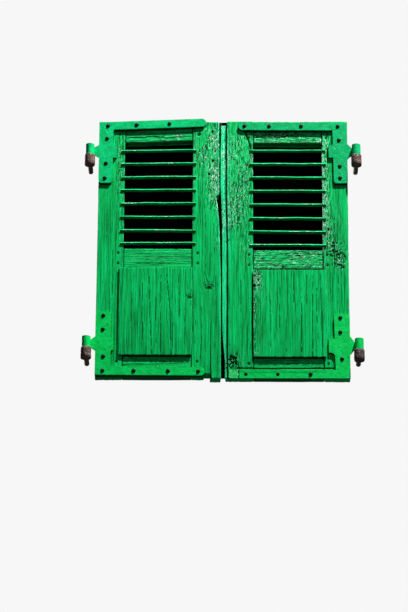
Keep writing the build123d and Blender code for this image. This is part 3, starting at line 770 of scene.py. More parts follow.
def shadowUnderStraps(x, z):
    # painted shadow: near black from 3 mm behind a strap's lower edge to 5 mm below it, then fading out
    at = underStrapShadowAt
    strapShadow = np.zeros(x.shape)
    for edge in strapEdgesAt:
        (x0, x1), (z0, z1) = edge["x"], edge["z"]
        below = z0 + (z1 - z0) * (x - x0) / (x1 - x0) - z
        inside = fadeIn(x - x0, at["fadeEnds"]) * fadeIn(x1 - x, at["fadeEnds"])
        band = fadeIn(below + at["above"], at["fadeAbove"]) * fadeIn(at["below"] - below, at["fadeBelow"])
        strapShadow = np.maximum(strapShadow, at["dark"] * inside * band)
    return strapShadow


# What a board and a zone of its width are like where their own dictionaries don't say otherwise
boardAt = {
    "radius": 1.6, "relief": 1.0, "sideColumns": 7, "endStretch": 30.0, "lean": (0.0, 0.0),
    "wear": 0.15, "edgeWear": 0.25, "sideWear": 0.35, "backWear": 0.3, "patchy": 0.5,
    # the edge value here is painted highlight along the open edges
    "patchWaves": (34, 60), "edgeBleach": 0.3, "backGrime": 0.15,
    # the low, back and low-side values are painted shade where a board faces down or ends low
    "lowDark": 0.0, "highDark": 0.0, "endDark": 0.0, "lineDark": 0.0, "backDark": 0.0, "lowSideDark": 0.0,
    "cracks": (), "pits": (), "knots": (), "worn": (), "dirty": (), "bleached": (), "rot": (),
    "straps": None, "carve": None, "turn": None, "lowEdge": None, "highEdge": None,
}
zoneAt = {"sink": 0.0, "rounded": (True, True), "crack": 0.0, "bleach": 0.0, "stepDark": False}
# How uneven the rounded edges are, as a share of their radius, and how ragged the ends; how far rounding,
# painted edge highlights and wear reach in; where each dark band ends and over how much it fades out, in
# millimetres
edgeAt = {
    "uneven": 0.45, "unevenWaves": (9, 22), "ragged": 0.5, "raggedWaves": 5,
    "endRound": 1.2, "backRound": 1.0, "bleachReach": 1.8, "wearReach": 3.0,
    # the step and low bands are painted shade
    "stepDark": 0.9, "stepBand": (4.0, 1.2), "lowBand": (2.0, 2.0), "highBand": (2.56, 1.6),
    "endBand": (2.1, 1.4), "lineBand": (7.4, 1.4),
}


# The marks on a board's face; lengths are in millimetres, or in sizes of the mark itself
crackAt = {"wobble": 0.7, "wobbleLength": 14, "endWidth": 0.35, "taper": 0.5, "darkEdge": 0.7}
pitAt = {"outer": 1.25, "squeeze": 0.85, "steep": 2, "darkSteep": 2.2}
knotAt = {
    "across": 0.66, "along": 1.1, "rings": 9.5, "ringNoise": 0.8, "ringWaves": (4, 6), "grime": 0.8,
    "heartReach": 0.55, "heartLimit": 0.30, "heartGain": 2.0, "heartDark": 0.95,
    "bend": 0.9, "bendPower": 1.3, "bendLength": 2.2,
}
rotAt = {
    "squeeze": 0.75, "coarse": (3.4, 5.5), "fine": (1.8, 2.6), "fineShare": 0.6, "steep": 3.6,
    "wearReach": 1.4,
}


def softSpot(a, l, spot):
    # amount times e to the power of -(da / reach across)^2 - (dl / reach along)^2
    a0, l0, reachAcross, reachAlong, amount = spot
    return amount * np.exp(-((a - a0) / reachAcross) ** 2 - ((l - l0) / reachAlong) ** 2)


def addCracks(marks, a, l, at):
    # depth * (1 - (distance / half width)^2), the half width falling to about a third at the ends
    wobble = crackAt["wobble"] * wander(l, crackAt["wobbleLength"], at["seed"] + 21)
    endWidth = crackAt["endWidth"]
    for points, width, depth in at["cracks"]:
        reach, share = lineDistance(a + wobble, l, points)
        swell = np.sin(math.pi * np.clip(share, 0.02, 0.98)) ** crackAt["taper"]
        groove = np.clip(1 - (reach / (width * (endWidth + (1 - endWidth) * swell))) ** 2, 0, 1)
        marks["sink"] += depth * groove
        marks["crack"] = np.maximum(marks["crack"], groove ** crackAt["darkEdge"])


def addPits(marks, a, l, at):
    # a hole that is full within 0.75 of its size and gone at 1.25, a little longer along the grain
    for a0, l0, size, depth in at["pits"]:
        reach = np.hypot(a - a0, (l - l0) * pitAt["squeeze"]) / size
        hole = np.clip(pitAt["outer"] - reach, 0, 1)
        marks["sink"] += depth * np.clip(hole * pitAt["steep"], 0, 1)
        marks["crack"] = np.maximum(marks["crack"], np.clip(hole * pitAt["darkSteep"], 0, 1))


def addKnots(marks, a, l, at):
    # rings of cos(9.5 * reach + noise) under a bell e to the -reach^2, a dark heart, and bent grain
    for a0, l0, size, depth in at["knots"]:
        da, dl = a - a0, l - l0
        reach = np.hypot(da * knotAt["across"], dl * knotAt["along"]) / size
        bump = np.exp(-reach ** 2)
        ringNoise = knotAt["ringNoise"] * waves(a, l, knotAt["ringWaves"], at["seed"] + 31)
        rings = 0.5 + 0.5 * np.cos(reach * knotAt["rings"] + ringNoise)
        heart = (np.exp(-(reach / knotAt["heartReach"]) ** 2) - knotAt["heartLimit"]) * knotAt["heartGain"]
        marks["sink"] += depth * bump * rings
        marks["crack"] = np.maximum(marks["crack"], np.clip(heart, 0, knotAt["heartDark"]))
        marks["grime"] = np.maximum(marks["grime"], knotAt["grime"] * bump * rings)
        beside, beyond = np.abs(da) / size, dl / (size * knotAt["bendLength"])
        bend = np.exp(-beside ** knotAt["bendPower"] - beyond ** 2)
        marks["shift"] += np.sign(da) * size * knotAt["bend"] * bend


def addRot(marks, a, l, at):
    # holes where two noises plus the density are more than the distance in sizes
    for a0, l0, size, depth, density in at["rot"]:
        reach = np.hypot(a - a0, (l - l0) * rotAt["squeeze"]) / size
        eaten = waves(a, l, rotAt["coarse"], at["seed"] + 51)
        eaten += rotAt["fineShare"] * waves(a, l, rotAt["fine"], at["seed"] + 52)
        hole = np.clip((eaten + density - reach) * rotAt["steep"], 0, 1)
        marks["sink"] += depth * hole
        marks["crack"] = np.maximum(marks["crack"], hole)
        marks["wear"] += density * np.exp(-(reach / rotAt["wearReach"]) ** 2)


def addMarks(marks, a, l, at):
    # everything that a board's own dictionary puts on its face
    addCracks(marks, a, l, at)
    addPits(marks, a, l, at)
    addKnots(marks, a, l, at)
    # the last kind of spot is painted highlight along arrises
    for field, spots in (("wear", at["worn"]), ("grime", at["dirty"]), ("bleach", at["bleached"])):
        for spot in spots:
            marks[field] = marks[field] + softSpot(a, l, spot)
    addRot(marks, a, l, at)
    # painted shadow below and beside the straps
    if at["straps"]:
        x, z = (a, l) if at["grain"] == "z" else (l, a)
        strapShadow = np.maximum(shadowUnderStraps(x, z), shadowBesideStraps(x, z, at["straps"]))
        marks["crack"] = np.maximum(marks["crack"], strapShadow)
    # a carve gives a sink and painted shade
    if at["carve"]:
        extraSink, extraShade = at["carve"](a, l)
        marks["sink"] += extraSink
        marks["crack"] = np.maximum(marks["crack"], extraShade)


def layZones(zones, rows, radius):
    # the columns of all zones side by side, with each column's depth, distance to an open edge and own values
    parts = {"across": [], "sink": [], "toEdge": [], "crack": [], "bleach": [], "fromStep": []}
    for given in zones:
        zone = {**zoneAt, **given}
        left, right, depth = (
            np.broadcast_to(np.asarray(zone[key], float), rows.shape) for key in ("left", "right", "sink")
        )
        columns = placeColumns(left, right, zone["columns"], radius)
        away = np.full(columns.shape, far)
        leftOpen, rightOpen = zone["rounded"]
        fromLeft = columns - left[:, None] if leftOpen else away
        fromRight = right[:, None] - columns if rightOpen else away
        parts["across"].append(columns)
        parts["sink"].append(np.repeat(depth[:, None], columns.shape[1], 1))
        parts["toEdge"].append(np.minimum(fromLeft, fromRight))
        parts["crack"].append(np.full(columns.shape, zone["crack"]))
        parts["bleach"].append(np.full(columns.shape, zone["bleach"]))
        parts["fromStep"].append(columns[:, -1:] - columns if zone["stepDark"] else away)
    return [np.concatenate(values, 1) for values in parts.values()]


def roundedDrop(reach, radius):
    # a quarter circle: radius minus the root of radius^2 - (radius - reach)^2
    return radius - np.sqrt(np.maximum(radius ** 2 - (radius - np.clip(reach, 0, radius)) ** 2, 0))


def darkBand(distance, band):
    # 1 up to the band's end less its fade, 0 from its end on
    end, fade = edgeAt[band]
    return fadeIn(end - distance, fade)


def loopFaces(rowCount, count, sideCount):
    # quads between neighbouring rows, then each end closed by strips from the face to the back
    loop = 2 * (count + sideCount)
    grid = np.arange(rowCount * loop).reshape(rowCount, loop)
    nextColumn = np.roll(grid, -1, 1)
    quads = np.stack([grid[:-1], nextColumn[:-1], nextColumn[1:], grid[1:]], -1).reshape(-1, 4)
    faces = quads.tolist()
    for row, turned in ((grid[0], False), (grid[-1], True)):
        front, rear = row[:count], row[count + sideCount:2 * count + sideCount][::-1]
        cap = np.stack([front[:-1], rear[:-1], rear[1:], front[1:]], -1).tolist()
        cap.append([front[-1], *row[count + sideCount - 1:count - 1:-1].tolist()[::-1], rear[-1]][::-1])
        cap.append([front[0], *row[2 * count + sideCount:][::-1].tolist(), rear[0]])
        faces += [corners[::-1] for corners in cap] if turned else cap
    return faces


def makeBoard(given):
    # a board in rows along its grain, each row one loop: the face, one edge, the back, the other edge
    at = {**boardAt, **given}
    seed, rows, radius, sideCount = at["seed"], at["rows"], at["radius"], at["sideColumns"]
    across, sink, toEdge, crack, bleach, fromStep = layZones(at["zones"], rows, radius)
    along = np.repeat(rows[:, None], across.shape[1], 1)

    # the ends follow their own outlines, and the rows near them are moved less and less
    low, high, stretch = rows[0], rows[-1], at["endStretch"]
    lowEdge = low + edgeAt["ragged"] * softNoise(across / edgeAt["raggedWaves"], 0, 0, seed + 7)
    highEdge = high + edgeAt["ragged"] * softNoise(across / edgeAt["raggedWaves"], 0, 9, seed + 8)
    if at["lowEdge"]:
        lowEdge = at["lowEdge"](across)
    if at["highEdge"]:
        highEdge = at["highEdge"](across)
    along = along + (lowEdge - low) * np.clip(1 - (along - low) / stretch, 0, 1)
    along = along + (highEdge - high) * np.clip(1 - (high - along) / stretch, 0, 1)

    # every open edge is rounded, uneven along the board, and the ends a little
    uneven = radius * (1 + edgeAt["uneven"] * waves(across, along, edgeAt["unevenWaves"], seed + 4))
    endDistance = np.minimum(along - lowEdge, highEdge - along)
    endRound = np.clip(1 - endDistance / edgeAt["endRound"], 0, 1) ** 2
    drop = roundedDrop(toEdge, uneven) + edgeAt["endRound"] * endRound
    marks = {
        "sink": sink + drop + grainRelief(across, along, at),
        # painted shade beside the step of the sunk strip
        "crack": np.maximum(crack, edgeAt["stepDark"] * darkBand(fromStep, "stepBand")),
        "grime": np.zeros(across.shape),
        "wear": np.full(across.shape, at["wear"]),
        # painted highlight from the zone and along the open edges
        "bleach": bleach + at["edgeBleach"] * np.exp(-(toEdge / edgeAt["bleachReach"]) ** 2),
        "shift": np.zeros(across.shape),
    }
    addMarks(marks, across, along, at)
    patches = 1 + at["patchy"] * waves(across, along, at["patchWaves"], seed + 11)
    edgeWear = at["edgeWear"] * np.exp(-toEdge / edgeAt["wearReach"])
    wear = np.clip((marks["wear"] + edgeWear) * patches, 0, 1)
    # painted shade along the low end
    lowDark = at["lowDark"] * darkBand(along - lowEdge, "lowBand")
    highDark = at["highDark"] * darkBand(highEdge - along, "highBand")
    endDark = at["endDark"] * darkBand(endDistance, "endBand")
    lineDark = at["lineDark"] * darkBand(across - across[:, :1], "lineBand")
    crack = np.maximum.reduce([marks["crack"], lowDark, highDark, endDark, lineDark])

    # the back leans, is rounded too and has a faint grain of its own
    face = at["face"] + marks["sink"]
    first, last = across[:, :1], across[:, -1:]
    share = (across - first) / np.maximum(last - first, 1e-6)
    backAcross = across + at["lean"][0] * (1 - share) + at["lean"][1] * share
    backDrop = roundedDrop(np.minimum(across - first, last - across), edgeAt["backRound"])
    backGrain, sideGrain = grainAt["back"], grainAt["side"]
    backNoise = softNoise(across / backGrain["wide"], 5, along / backGrain["long"], seed + 13)
    backRelief = backGrain["deep"] * (1 + backNoise)
    back = at["back"] - backDrop - backRelief - endRound
    steps = np.linspace(0, 1, sideCount + 2)[None, 1:-1]

    def sideSurface(index, inwards, sideSeed):
        # straight from the face's outer column to the back's, with grain pressed into it
        y = face[:, [index]] * (1 - steps) + back[:, [index]] * steps
        z = np.repeat(along[:, [index]], sideCount, 1)
        a = across[:, [index]] * (1 - steps) + backAcross[:, [index]] * steps
        noise = softNoise(9, y / sideGrain["wide"], z / sideGrain["long"], sideSeed)
        relief = sideGrain["deep"] * (1 + noise) * np.sin(math.pi * steps) ** sideGrain["taper"]
        return a + inwards * relief, y, z

    rightA, rightY, rightL = sideSurface(-1, -1, seed + 15)
    leftA, leftY, leftL = sideSurface(0, 1, seed + 16)
    a = np.concatenate([across, rightA, backAcross[:, ::-1], leftA[:, ::-1]], 1)
    y = np.concatenate([face, rightY, back[:, ::-1], leftY[:, ::-1]], 1)
    l = np.concatenate([along, rightL, along[:, ::-1], leftL[:, ::-1]], 1)
    none, sideNone = np.zeros(across.shape), np.zeros(rightA.shape)
    sideWear = sideNone + at["sideWear"]
    fields = {
        "wear": [wear, sideWear, none + at["backWear"], sideWear],
        # painted shade on the back and on the low side
        "crack": [crack, sideNone, np.maximum(lowDark, at["backDark"]), sideNone + at["lowSideDark"]],
        "bleach": [np.clip(marks["bleach"], 0, 1), sideNone, none, sideNone],
        "grime": [marks["grime"], sideNone, none + at["backGrime"], sideNone],
    }
    shift = np.concatenate([marks["shift"], sideNone, none, sideNone], 1)

    faces = loopFaces(len(rows), across.shape[1], sideCount)
    if at["grain"] == "z":
        vertices = np.stack([a, y, l], -1)
    else:
        vertices = np.stack([l, y, a], -1)
        faces = [corners[::-1] for corners in faces]
    if at["turn"]:
        vertices = at["turn"](vertices)
    grain = np.stack([a + shift + seed * 37.0, y, l + seed * 113.0], -1)
    fields = {key: np.concatenate(values, 1).reshape(-1) for key, values in fields.items()}
    return vertices.reshape(-1, 3), faces, fields, grain.reshape(-1, 3)


def makePiece(name, body, nodes, boards, material):
    # one or more boards as one object at the origin, with its marks and its grain kept on its points
    vertices, faces, start = [], [], 0
    fields, grains = {"wear": [], "crack": [], "grime": [], "bleach": []}, []
    for boardVertices, boardFaces, boardFields, grain in boards:
        vertices.append(boardVertices)
        faces += [[index + start for index in f] for f in boardFaces]
        start += len(boardVertices)
        grains.append(grain)
        for key in fields:
            fields[key].append(boardFields[key])
    mesh = bpy.data.meshes.new(name)
    mesh.from_pydata((np.concatenate(vertices) * mm).tolist(), [], faces)
    for key, parts in fields.items():
        values = np.concatenate(parts).astype(np.float32)
        mesh.attributes.new(key, "FLOAT", "POINT").data.foreach_set("value", values)
    vector = mesh.attributes.new("grain", "FLOAT_VECTOR", "POINT")
    vector.data.foreach_set("vector", np.concatenate(grains).astype(np.float32).reshape(-1))
    mesh.shade_smooth()
    mesh.set_sharp_from_angle(angle=math.radians(sharpFrom["wood"]))
    mesh.materials.append(material)
    piece = bpy.data.objects.new(name, mesh)
    bpy.context.collection.objects.link(piece)
    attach(piece, body)
    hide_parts(*nodes)


def boxOf(node):
    # lowest and highest corner of a CAD node, in millimetres
    low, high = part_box(node)
    return np.array(low) / mm, np.array(high) / mm


copyWidth = 17.0


def islandPlaces(node):
    # middle of each loose copy in a node, from the front: points closer than a copy's width belong together
    points = nodePoints(node)[1][:, (0, 2)]
    places = []
    while len(points):
        near = np.hypot(*(points - points[0]).T) < copyWidth
        places.append(points[near].min(0) / 2 + points[near].max(0) / 2)
        points = points[~near]
    return np.array(places)


# Stiles: where they end, and the hollow round each peg
middle, halfHeight = 37.1, 446.0
topEdge, footEdge = middle + halfHeight, middle - halfHeight
pegHollowAt = {"size": 3.7, "depth": 1.3}
pegPlaces = {leaf: islandPlaces(leaf + "_pegs") for leaf in ("left", "right")}


def pegHoles(leaf, low, high):
    # a pit at each peg of the leaf between two places across
    return [(x, z, pegHollowAt["size"], pegHollowAt["depth"]) for x, z in pegPlaces[leaf] if low < x < high]


def evenRows(low, high, step, extra=()):
    # rows at most a step apart, with one more 0.7 mm inside each end and the extra ones
    rows = np.linspace(low, high, int((high - low) / step) + 2)
    return np.unique(np.concatenate([rows, [low + 0.7, high - 0.7], np.array(extra, float)]))


stileAt = {"face": -36.0, "back": 0.0, "grain": "z", "step": 2.5}
hingeStileInset = 0.35
leftHingeStileAt = {
    "seed": 11, "wear": 0.10, "edgeWear": 0.15, "straps": "left",
    "worn": [
        (-330, 400, 22, 110, 0.45), (-326, 260, 18, 90, 0.30), (-335, 120, 40, 70, 0.10),
        (-322, 60, 12, 120, 0.15),
    ],
    "dirty": [(-360, 150, 40, 40, 0.10), (-345, -20, 40, 60, 0.12)],
    "cracks": [
        ([(-351, 40), (-349, -60), (-352, -150)], 0.9, 1.0),
        ([(-338, 235), (-341, 120), (-339, 30)], 0.8, 0.9),
        ([(-372, 200), (-370, 60)], 0.8, 0.8),
    ],
}
leftMeetingStileAt = {
    "seed": 23, "wear": 0.10, "edgeWear": 0.25, "lean": (0.0, -2.0), "straps": "left",
    # painted highlights along the free edge
    "bleached": [
        (-14, 420, 6, 60, 0.8), (-13, 300, 3, 60, 0.5), (-20, 200, 3, 40, 0.6), (-8, 0, 3, 300, 0.5),
    ],
    "worn": [
        (-50, 400, 45, 120, 0.55), (-20, 400, 20, 90, 0.35), (-20, 260, 22, 150, 0.45),
        (-60, 230, 40, 80, 0.25), (-14, 60, 12, 90, 0.25),
    ],
    "dirty": [(-60, -390, 30, 18, 0.35), (-45, -60, 50, 60, 0.10)],
    "knots": [(-43.5, -103, 14, 2.0)],
    "pits": [
        (-34.8, 448, 3.6, 2.6), (-33.1, 342, 3.8, 2.8), (-45.5, 294.7, 3.6, 2.6),
        (-76.7, 437.8, 4.0, 2.6),
    ],
    "cracks": [
        ([(-70, 300), (-73, 180), (-70, 80)], 0.9, 1.0),
        ([(-57, 180), (-55, 20), (-58, -70)], 0.9, 1.1),
        ([(-68, -100), (-66, -260), (-71, -370)], 0.8, 1.0),
        ([(-23, -40), (-22, -180)], 0.9, 1.0),
        ([(-30, 120), (-27, 10)], 0.8, 0.9),
        ([(-85, -180), (-88, -330)], 0.7, 0.8),
    ],
    "edgeLoss": [
        (0, 8.4), (48, 8.4), (109, 7.2), (261, 7.0), (266, 16.0), (298, 11.6), (352, 7.6), (422, 4.2),
        (579, 1.0), (899, 0.0),
    ],
    "width": 92.0, "splitReach": 38.5, "splitRise": 212.0, "splitWidth": 3.8, "splitDrop": 7.0,
    "splitDepth": 31.0, "splitFade": 18, "rotWidth": 22.0, "rotHeight": 9.0,
}
rightMeetingStileAt = {
    "seed": 37, "wear": 0.12, "edgeWear": 0.25, "lean": (2.0, 0.0), "straps": "right",
    # painted highlights on the sunk strip and along the arrises
    "bleached": [(15, 300, 4, 160, 0.8), (18, 60, 5, 120, 0.7), (-2, 300, 6, 240, 0.25)],
    "worn": [
        (60, 380, 60, 140, 0.50), (40, 180, 50, 160, 0.48), (20, 330, 10, 200, 0.25),
        (80, 60, 25, 90, 0.2), (3, 400, 8, 140, 0.7), (3, 200, 8, 120, 0.35),
    ],
    "dirty": [(35, -330, 22, 40, 0.25), (60, -380, 40, 16, 0.2)],
    "rot": [(32, -357, 17, 3.4, 0.62)],
    "pits": [(80.3, -365, 2.6, 2.2)],
    "cracks": [
        ([(68, 455), (74, 437), (83, 411), (89, 383)], 2.0, 8.0),
        ([(8, 57.6), (13, 55), (20, 61)], 1.8, 3.0),
        ([(62, 330), (60, 180)], 0.9, 1.0),
        ([(45, 260), (47, 60)], 0.8, 1.0),
        ([(74, 120), (72, -60)], 0.8, 0.9),
        ([(58, -60), (56, -230)], 0.8, 0.9),
        ([(36, -340), (44, -362), (54, -384)], 1.2, 2.4),
        ([(30, -366), (34, -388)], 1.2, 2.4),
        ([(24, -340), (22, -300)], 1.0, 1.5),
        ([(44, -345), (50, -318)], 0.9, 1.2),
        ([(93.8, -70), (93.6, -200), (93.8, -346)], 3.0, 2.4),
    ],
    "stripWidths": [(0, 13.4), (246, 13.5), (370, 15.9), (458, 17.4), (800, 18.0), (899.5, 19.0)],
    "stripReach": [
        (0, 6.0), (60, 6.0), (106, 7.4), (228, 7.4), (258, 6.4), (300, 3.7), (370, 1.9), (630, 1.3),
        (743, 0.0), (900, 0.0),
    ],
    "broken": [(0, 8.4), (58, 8.3), (96, 4.2), (156, 0.0), (900, 0.0)],
    "meetingEdge": -1.0, "stripSink": 5.0, "stripTopLoss": 9.0, "rotLine": (46.0, 99.0),
}
rightHingeStileAt = {
    "seed": 53, "wear": 0.16, "edgeWear": 0.4, "straps": "right",
    # painted highlight along the inner arris
    "bleached": [(321, 260, 4, 200, 0.7)],
    "worn": [
        (325, 250, 15, 170, 0.72), (330, 400, 20, 60, 0.6), (350, 90, 36, 120, 0.22),
        (322, -60, 10, 80, 0.2),
    ],
    "dirty": [(365, 110, 26, 130, 0.22)],
    "pits": [(350, 52, 3.0, 2.0), (366, 10, 2.8, 2.0), (336, 98, 3.4, 2.0)],
    "rot": [
        (362, 14, 30, 2.4, 0.2), (352, 40, 16, 2.4, 0.3), (374, -26, 14, 2.4, 0.3),
        (334, 96, 7, 2.0, 0.4),
    ],
    "cracks": [
        ([(345, 192), (346, 150), (352, 132)], 1.2, 1.4),
        ([(356, 148), (354, 20), (351, -80)], 1.0, 1.0),
        ([(377, 60), (376, -120)], 0.8, 0.9),
        ([(338, -20), (340, -170)], 0.8, 1.0),
        ([(366, -40), (364, -160)], 0.8, 0.8),
    ],
}

# The open line that rot has left along the foot of the right leaf
rotLineAt = {"low": -382.9, "height": 3.2, "depth": 7.0, "hingeReach": 58.0}
rotRows = [rotLineAt["low"] + step for step in (0, 0.1, 3.1, 3.2)]


def polyline(x, points):
    # straight from each listed point to the next
    known = np.array(sorted(points), float)
    return np.interp(x, known[:, 0], known[:, 1])


def shadeAtRotLine(height):
    # painted shade: dark from 1 mm below the open line to 2 mm above it
    start, end = rotLineAt["low"] - 1.0, rotLineAt["low"] + rotLineAt["height"] + 2.0
    return 0.95 * fadeIn(height - start, 0.8) * fadeIn(end - height, 0.8)


def rotLine(a, l, low, high):
    # an open line along the foot: full depth between its two heights and its two places across, and painted
    # shade in and around it
    bottom, top = rotLineAt["low"] + 0.05, rotLineAt["low"] + rotLineAt["height"] - 0.05
    reached = (a > low) & (a < high)
    return rotLineAt["depth"] * (reached & (l > bottom) & (l < top)), shadeAtRotLine(l) * reached


def makeHingeStile(leaf, at):
    # a straight stile, 0.35 mm in from the CAD box on both sides, whose edges wander together
    low, high = boxOf(leaf + "_hinge_stile")
    inset = hingeStileInset
    rows = evenRows(low[2], high[2], stileAt["step"], rotRows)
    wobble = inset * wander(rows, 40, at["seed"] + 40)
    board = {**stileAt, **at, "rows": rows}
    board["zones"] = [{"left": low[0] + inset + wobble, "right": high[0] - inset + wobble, "columns": 46}]
    board["pits"] = [*at.get("pits", ()), *pegHoles(leaf, low[0], high[0])]
    if leaf == "right":
        board["carve"] = lambda a, l: rotLine(a, l, low[0], low[0] + rotLineAt["hingeReach"])
    return makeBoard(board)


def makeLeftMeetingStile(at):
    # width minus the listed loss at each height; the split opens evenly from its top down to the foot
    low, high = boxOf("left_meeting_stile")
    splitReach, foot = at["splitReach"], footEdge - at["splitDrop"]
    rows = evenRows(foot, topEdge, stileAt["step"], [topEdge - 261, topEdge - 263.5, topEdge - 266, foot + 3])
    wobble = 0.5 * wander(rows, 30, 91) + 0.3 * wander(rows, 7, 92)
    edge = low[0] + at["width"] - polyline(topEdge - rows, at["edgeLoss"]) - 0.4 + wobble * 0.6
    splitTop = footEdge + at["splitRise"]
    opening = np.clip((splitTop - rows) / (splitTop - footEdge), 0, 1)
    splitLeft = -splitReach + 0.5 * wander(rows, 25, 93)
    splitRight = splitLeft + 0.25 + at["splitWidth"] * opening
    depth = np.clip((splitTop - rows) / at["splitFade"], 0, 1) * at["splitDepth"]

    def lowEdge(a):
        # the main part ends higher than the splinter, and rot has eaten it away beside the split
        rot = at["rotHeight"] * np.clip((at["rotWidth"] + splitReach + a) / 7.0, 0, 1)
        ragged = 1.2 * wander(a, 2.6, 95) + 0.5 * wander(a, 7, 96)
        mainEnd = footEdge + rot + 0.4 + ragged * np.clip(rot / 4, 0.3, 1)
        return np.where(a > -splitReach, foot + 0.5 + 0.3 * ragged, mainEnd)

    board = {**stileAt, **at, "rows": rows, "lowEdge": lowEdge}
    board["zones"] = [
        {"left": low[0] + 0.3, "right": splitLeft, "columns": 34, "rounded": (True, False)},
        # the split, painted black all through as painted shade
        {
            "left": splitLeft + 0.02, "right": splitRight, "columns": 1, "rounded": (False, False),
            "sink": depth, "crack": 1.0,
        },
        {"left": splitRight + 0.02, "right": edge, "columns": 16, "rounded": (False, True)},
    ]
    board["pits"] = [*at["pits"], *pegHoles("left", low[0], high[0])]
    return makeBoard(board)


def makeRightMeetingStile(at):
    # the sunk strip runs from an edge with the listed losses to the listed widths, the face from there on
    low, high = boxOf("right_meeting_stile")
    foot, top = low[2], high[2]
    rows = evenRows(foot, top, stileAt["step"], rotRows)
    wobble = np.clip(0.4 * wander(rows, 28, 97), -0.1, 1)
    broken, reach = polyline(rows - foot, at["broken"]), polyline(top - rows, at["stripReach"])
    edge = at["meetingEdge"] + 0.2 + broken - reach + wobble
    width = polyline(top - rows, at["stripWidths"])
    strip = at["meetingEdge"] + width + 0.3 * wander(rows, 16, 89)
    stripEnd = at["meetingEdge"] + at["stripWidths"][0][1]

    def highEdge(a):
        # the strip ends lower than the face
        end = np.where(a < stripEnd, top - at["stripTopLoss"], top - 0.4)
        return end + 0.4 * wander(a, 4, 98)

    board = {**stileAt, **at, "rows": rows, "highEdge": highEdge}
    # painted highlight over the sunk strip, and painted shade beside its step
    board["zones"] = [
        {
            "left": edge, "right": strip - 0.02, "columns": 10, "rounded": (True, False),
            "sink": at["stripSink"], "bleach": 0.75, "stepDark": True,
        },
        {"left": strip, "right": high[0] - 0.3, "columns": 40},
    ]
    board["pits"] = [*at["pits"], *pegHoles("right", low[0], high[0])]
    board["carve"] = lambda a, l: rotLine(a, l, *at["rotLine"])
    return makeBoard(board)


def pieceName(node):
    # left_top_rail becomes leftTopRail
    first, *rest = node.split("_")
    return first + "".join(word.capitalize() for word in rest)


for stileNode, stileBoard in (
    ("left_hinge_stile", makeHingeStile("left", leftHingeStileAt)),
    ("left_meeting_stile", makeLeftMeetingStile(leftMeetingStileAt)),
    ("right_meeting_stile", makeRightMeetingStile(rightMeetingStileAt)),
    ("right_hinge_stile", makeHingeStile("right", rightHingeStileAt)),
):
    leafBody = stileNode.split("_")[0] + "_leaf"
    makePiece(pieceName(stileNode), leafBody, [stileNode], [stileBoard], stileWood)
print("stiles made")

# Rails, with the tenons that hold them
railsAt = {
    "left_top_rail": {
        "seed": 61, "wear": 0.25, "worn": [(436, -138, 14, 16, 0.9), (430, -200, 20, 90, 0.2)],
        "cracks": [
            ([(424.6, -313), (429, -230), (427, -180), (433, -100)], 1.4, 3.0),
            ([(446, -300), (444, -240)], 0.8, 0.8),
        ],
    },
    "left_mid_rail": {
        "seed": 67, "wear": 0.18, "lineDark": 0.3, "worn": [(0, -210, 20, 80, 0.2)],
        "cracks": [([(-20, -290), (-22, -180)], 0.8, 0.8)],
    },
    "left_bottom_rail": {
        "seed": 71, "wear": 0.15, "worn": [(-340, -110, 12, 20, 0.35), (-345, -300, 14, 18, 0.4)],
    },
    "right_top_rail": {
        "seed": 73, "wear": 0.75,
        "cracks": [([(427.4, 98), (426, 150), (428, 200)], 1.2, 2.4), ([(415, 210), (416, 300)], 0.8, 0.8)],
    },
    "right_mid_rail": {
        "seed": 79, "wear": 0.58, "lineDark": 0.95,
        "cracks": [
            ([(-28, 120), (-30, 240)], 0.8, 0.9),
            ([(9, 229), (7, 248)], 2.0, 2.0),
            ([(14, 196), (13, 214)], 1.4, 1.6),
        ],
    },
    "right_bottom_rail": {"seed": 83, "wear": 0.15, "worn": [(-360, 200, 12, 90, 0.2)]},
}
railShapeAt = {
    "face": -34.5, "back": 0.0, "grain": "x", "step": 2.6, "radius": 1.3, "sideColumns": 6,
    # painted shade on the rail's lower side
    "patchy": 0.25, "endDark": 0.9, "lowSideDark": 0.7,
}
railCoreAt = {
    "face": -26.0, "back": -2.0, "grain": "x", "step": 12.0, "radius": 0.6, "relief": 0.2,
    "sideColumns": 2, "reach": 8.0, "inset": 1.6,
}


def panelFootShade(height, foot):
    # painted shade: dark from 3.5 mm below the panel's foot upwards, gone at 5 mm below it
    return 0.9 * fadeIn(height - foot + 5.0, 1.5)


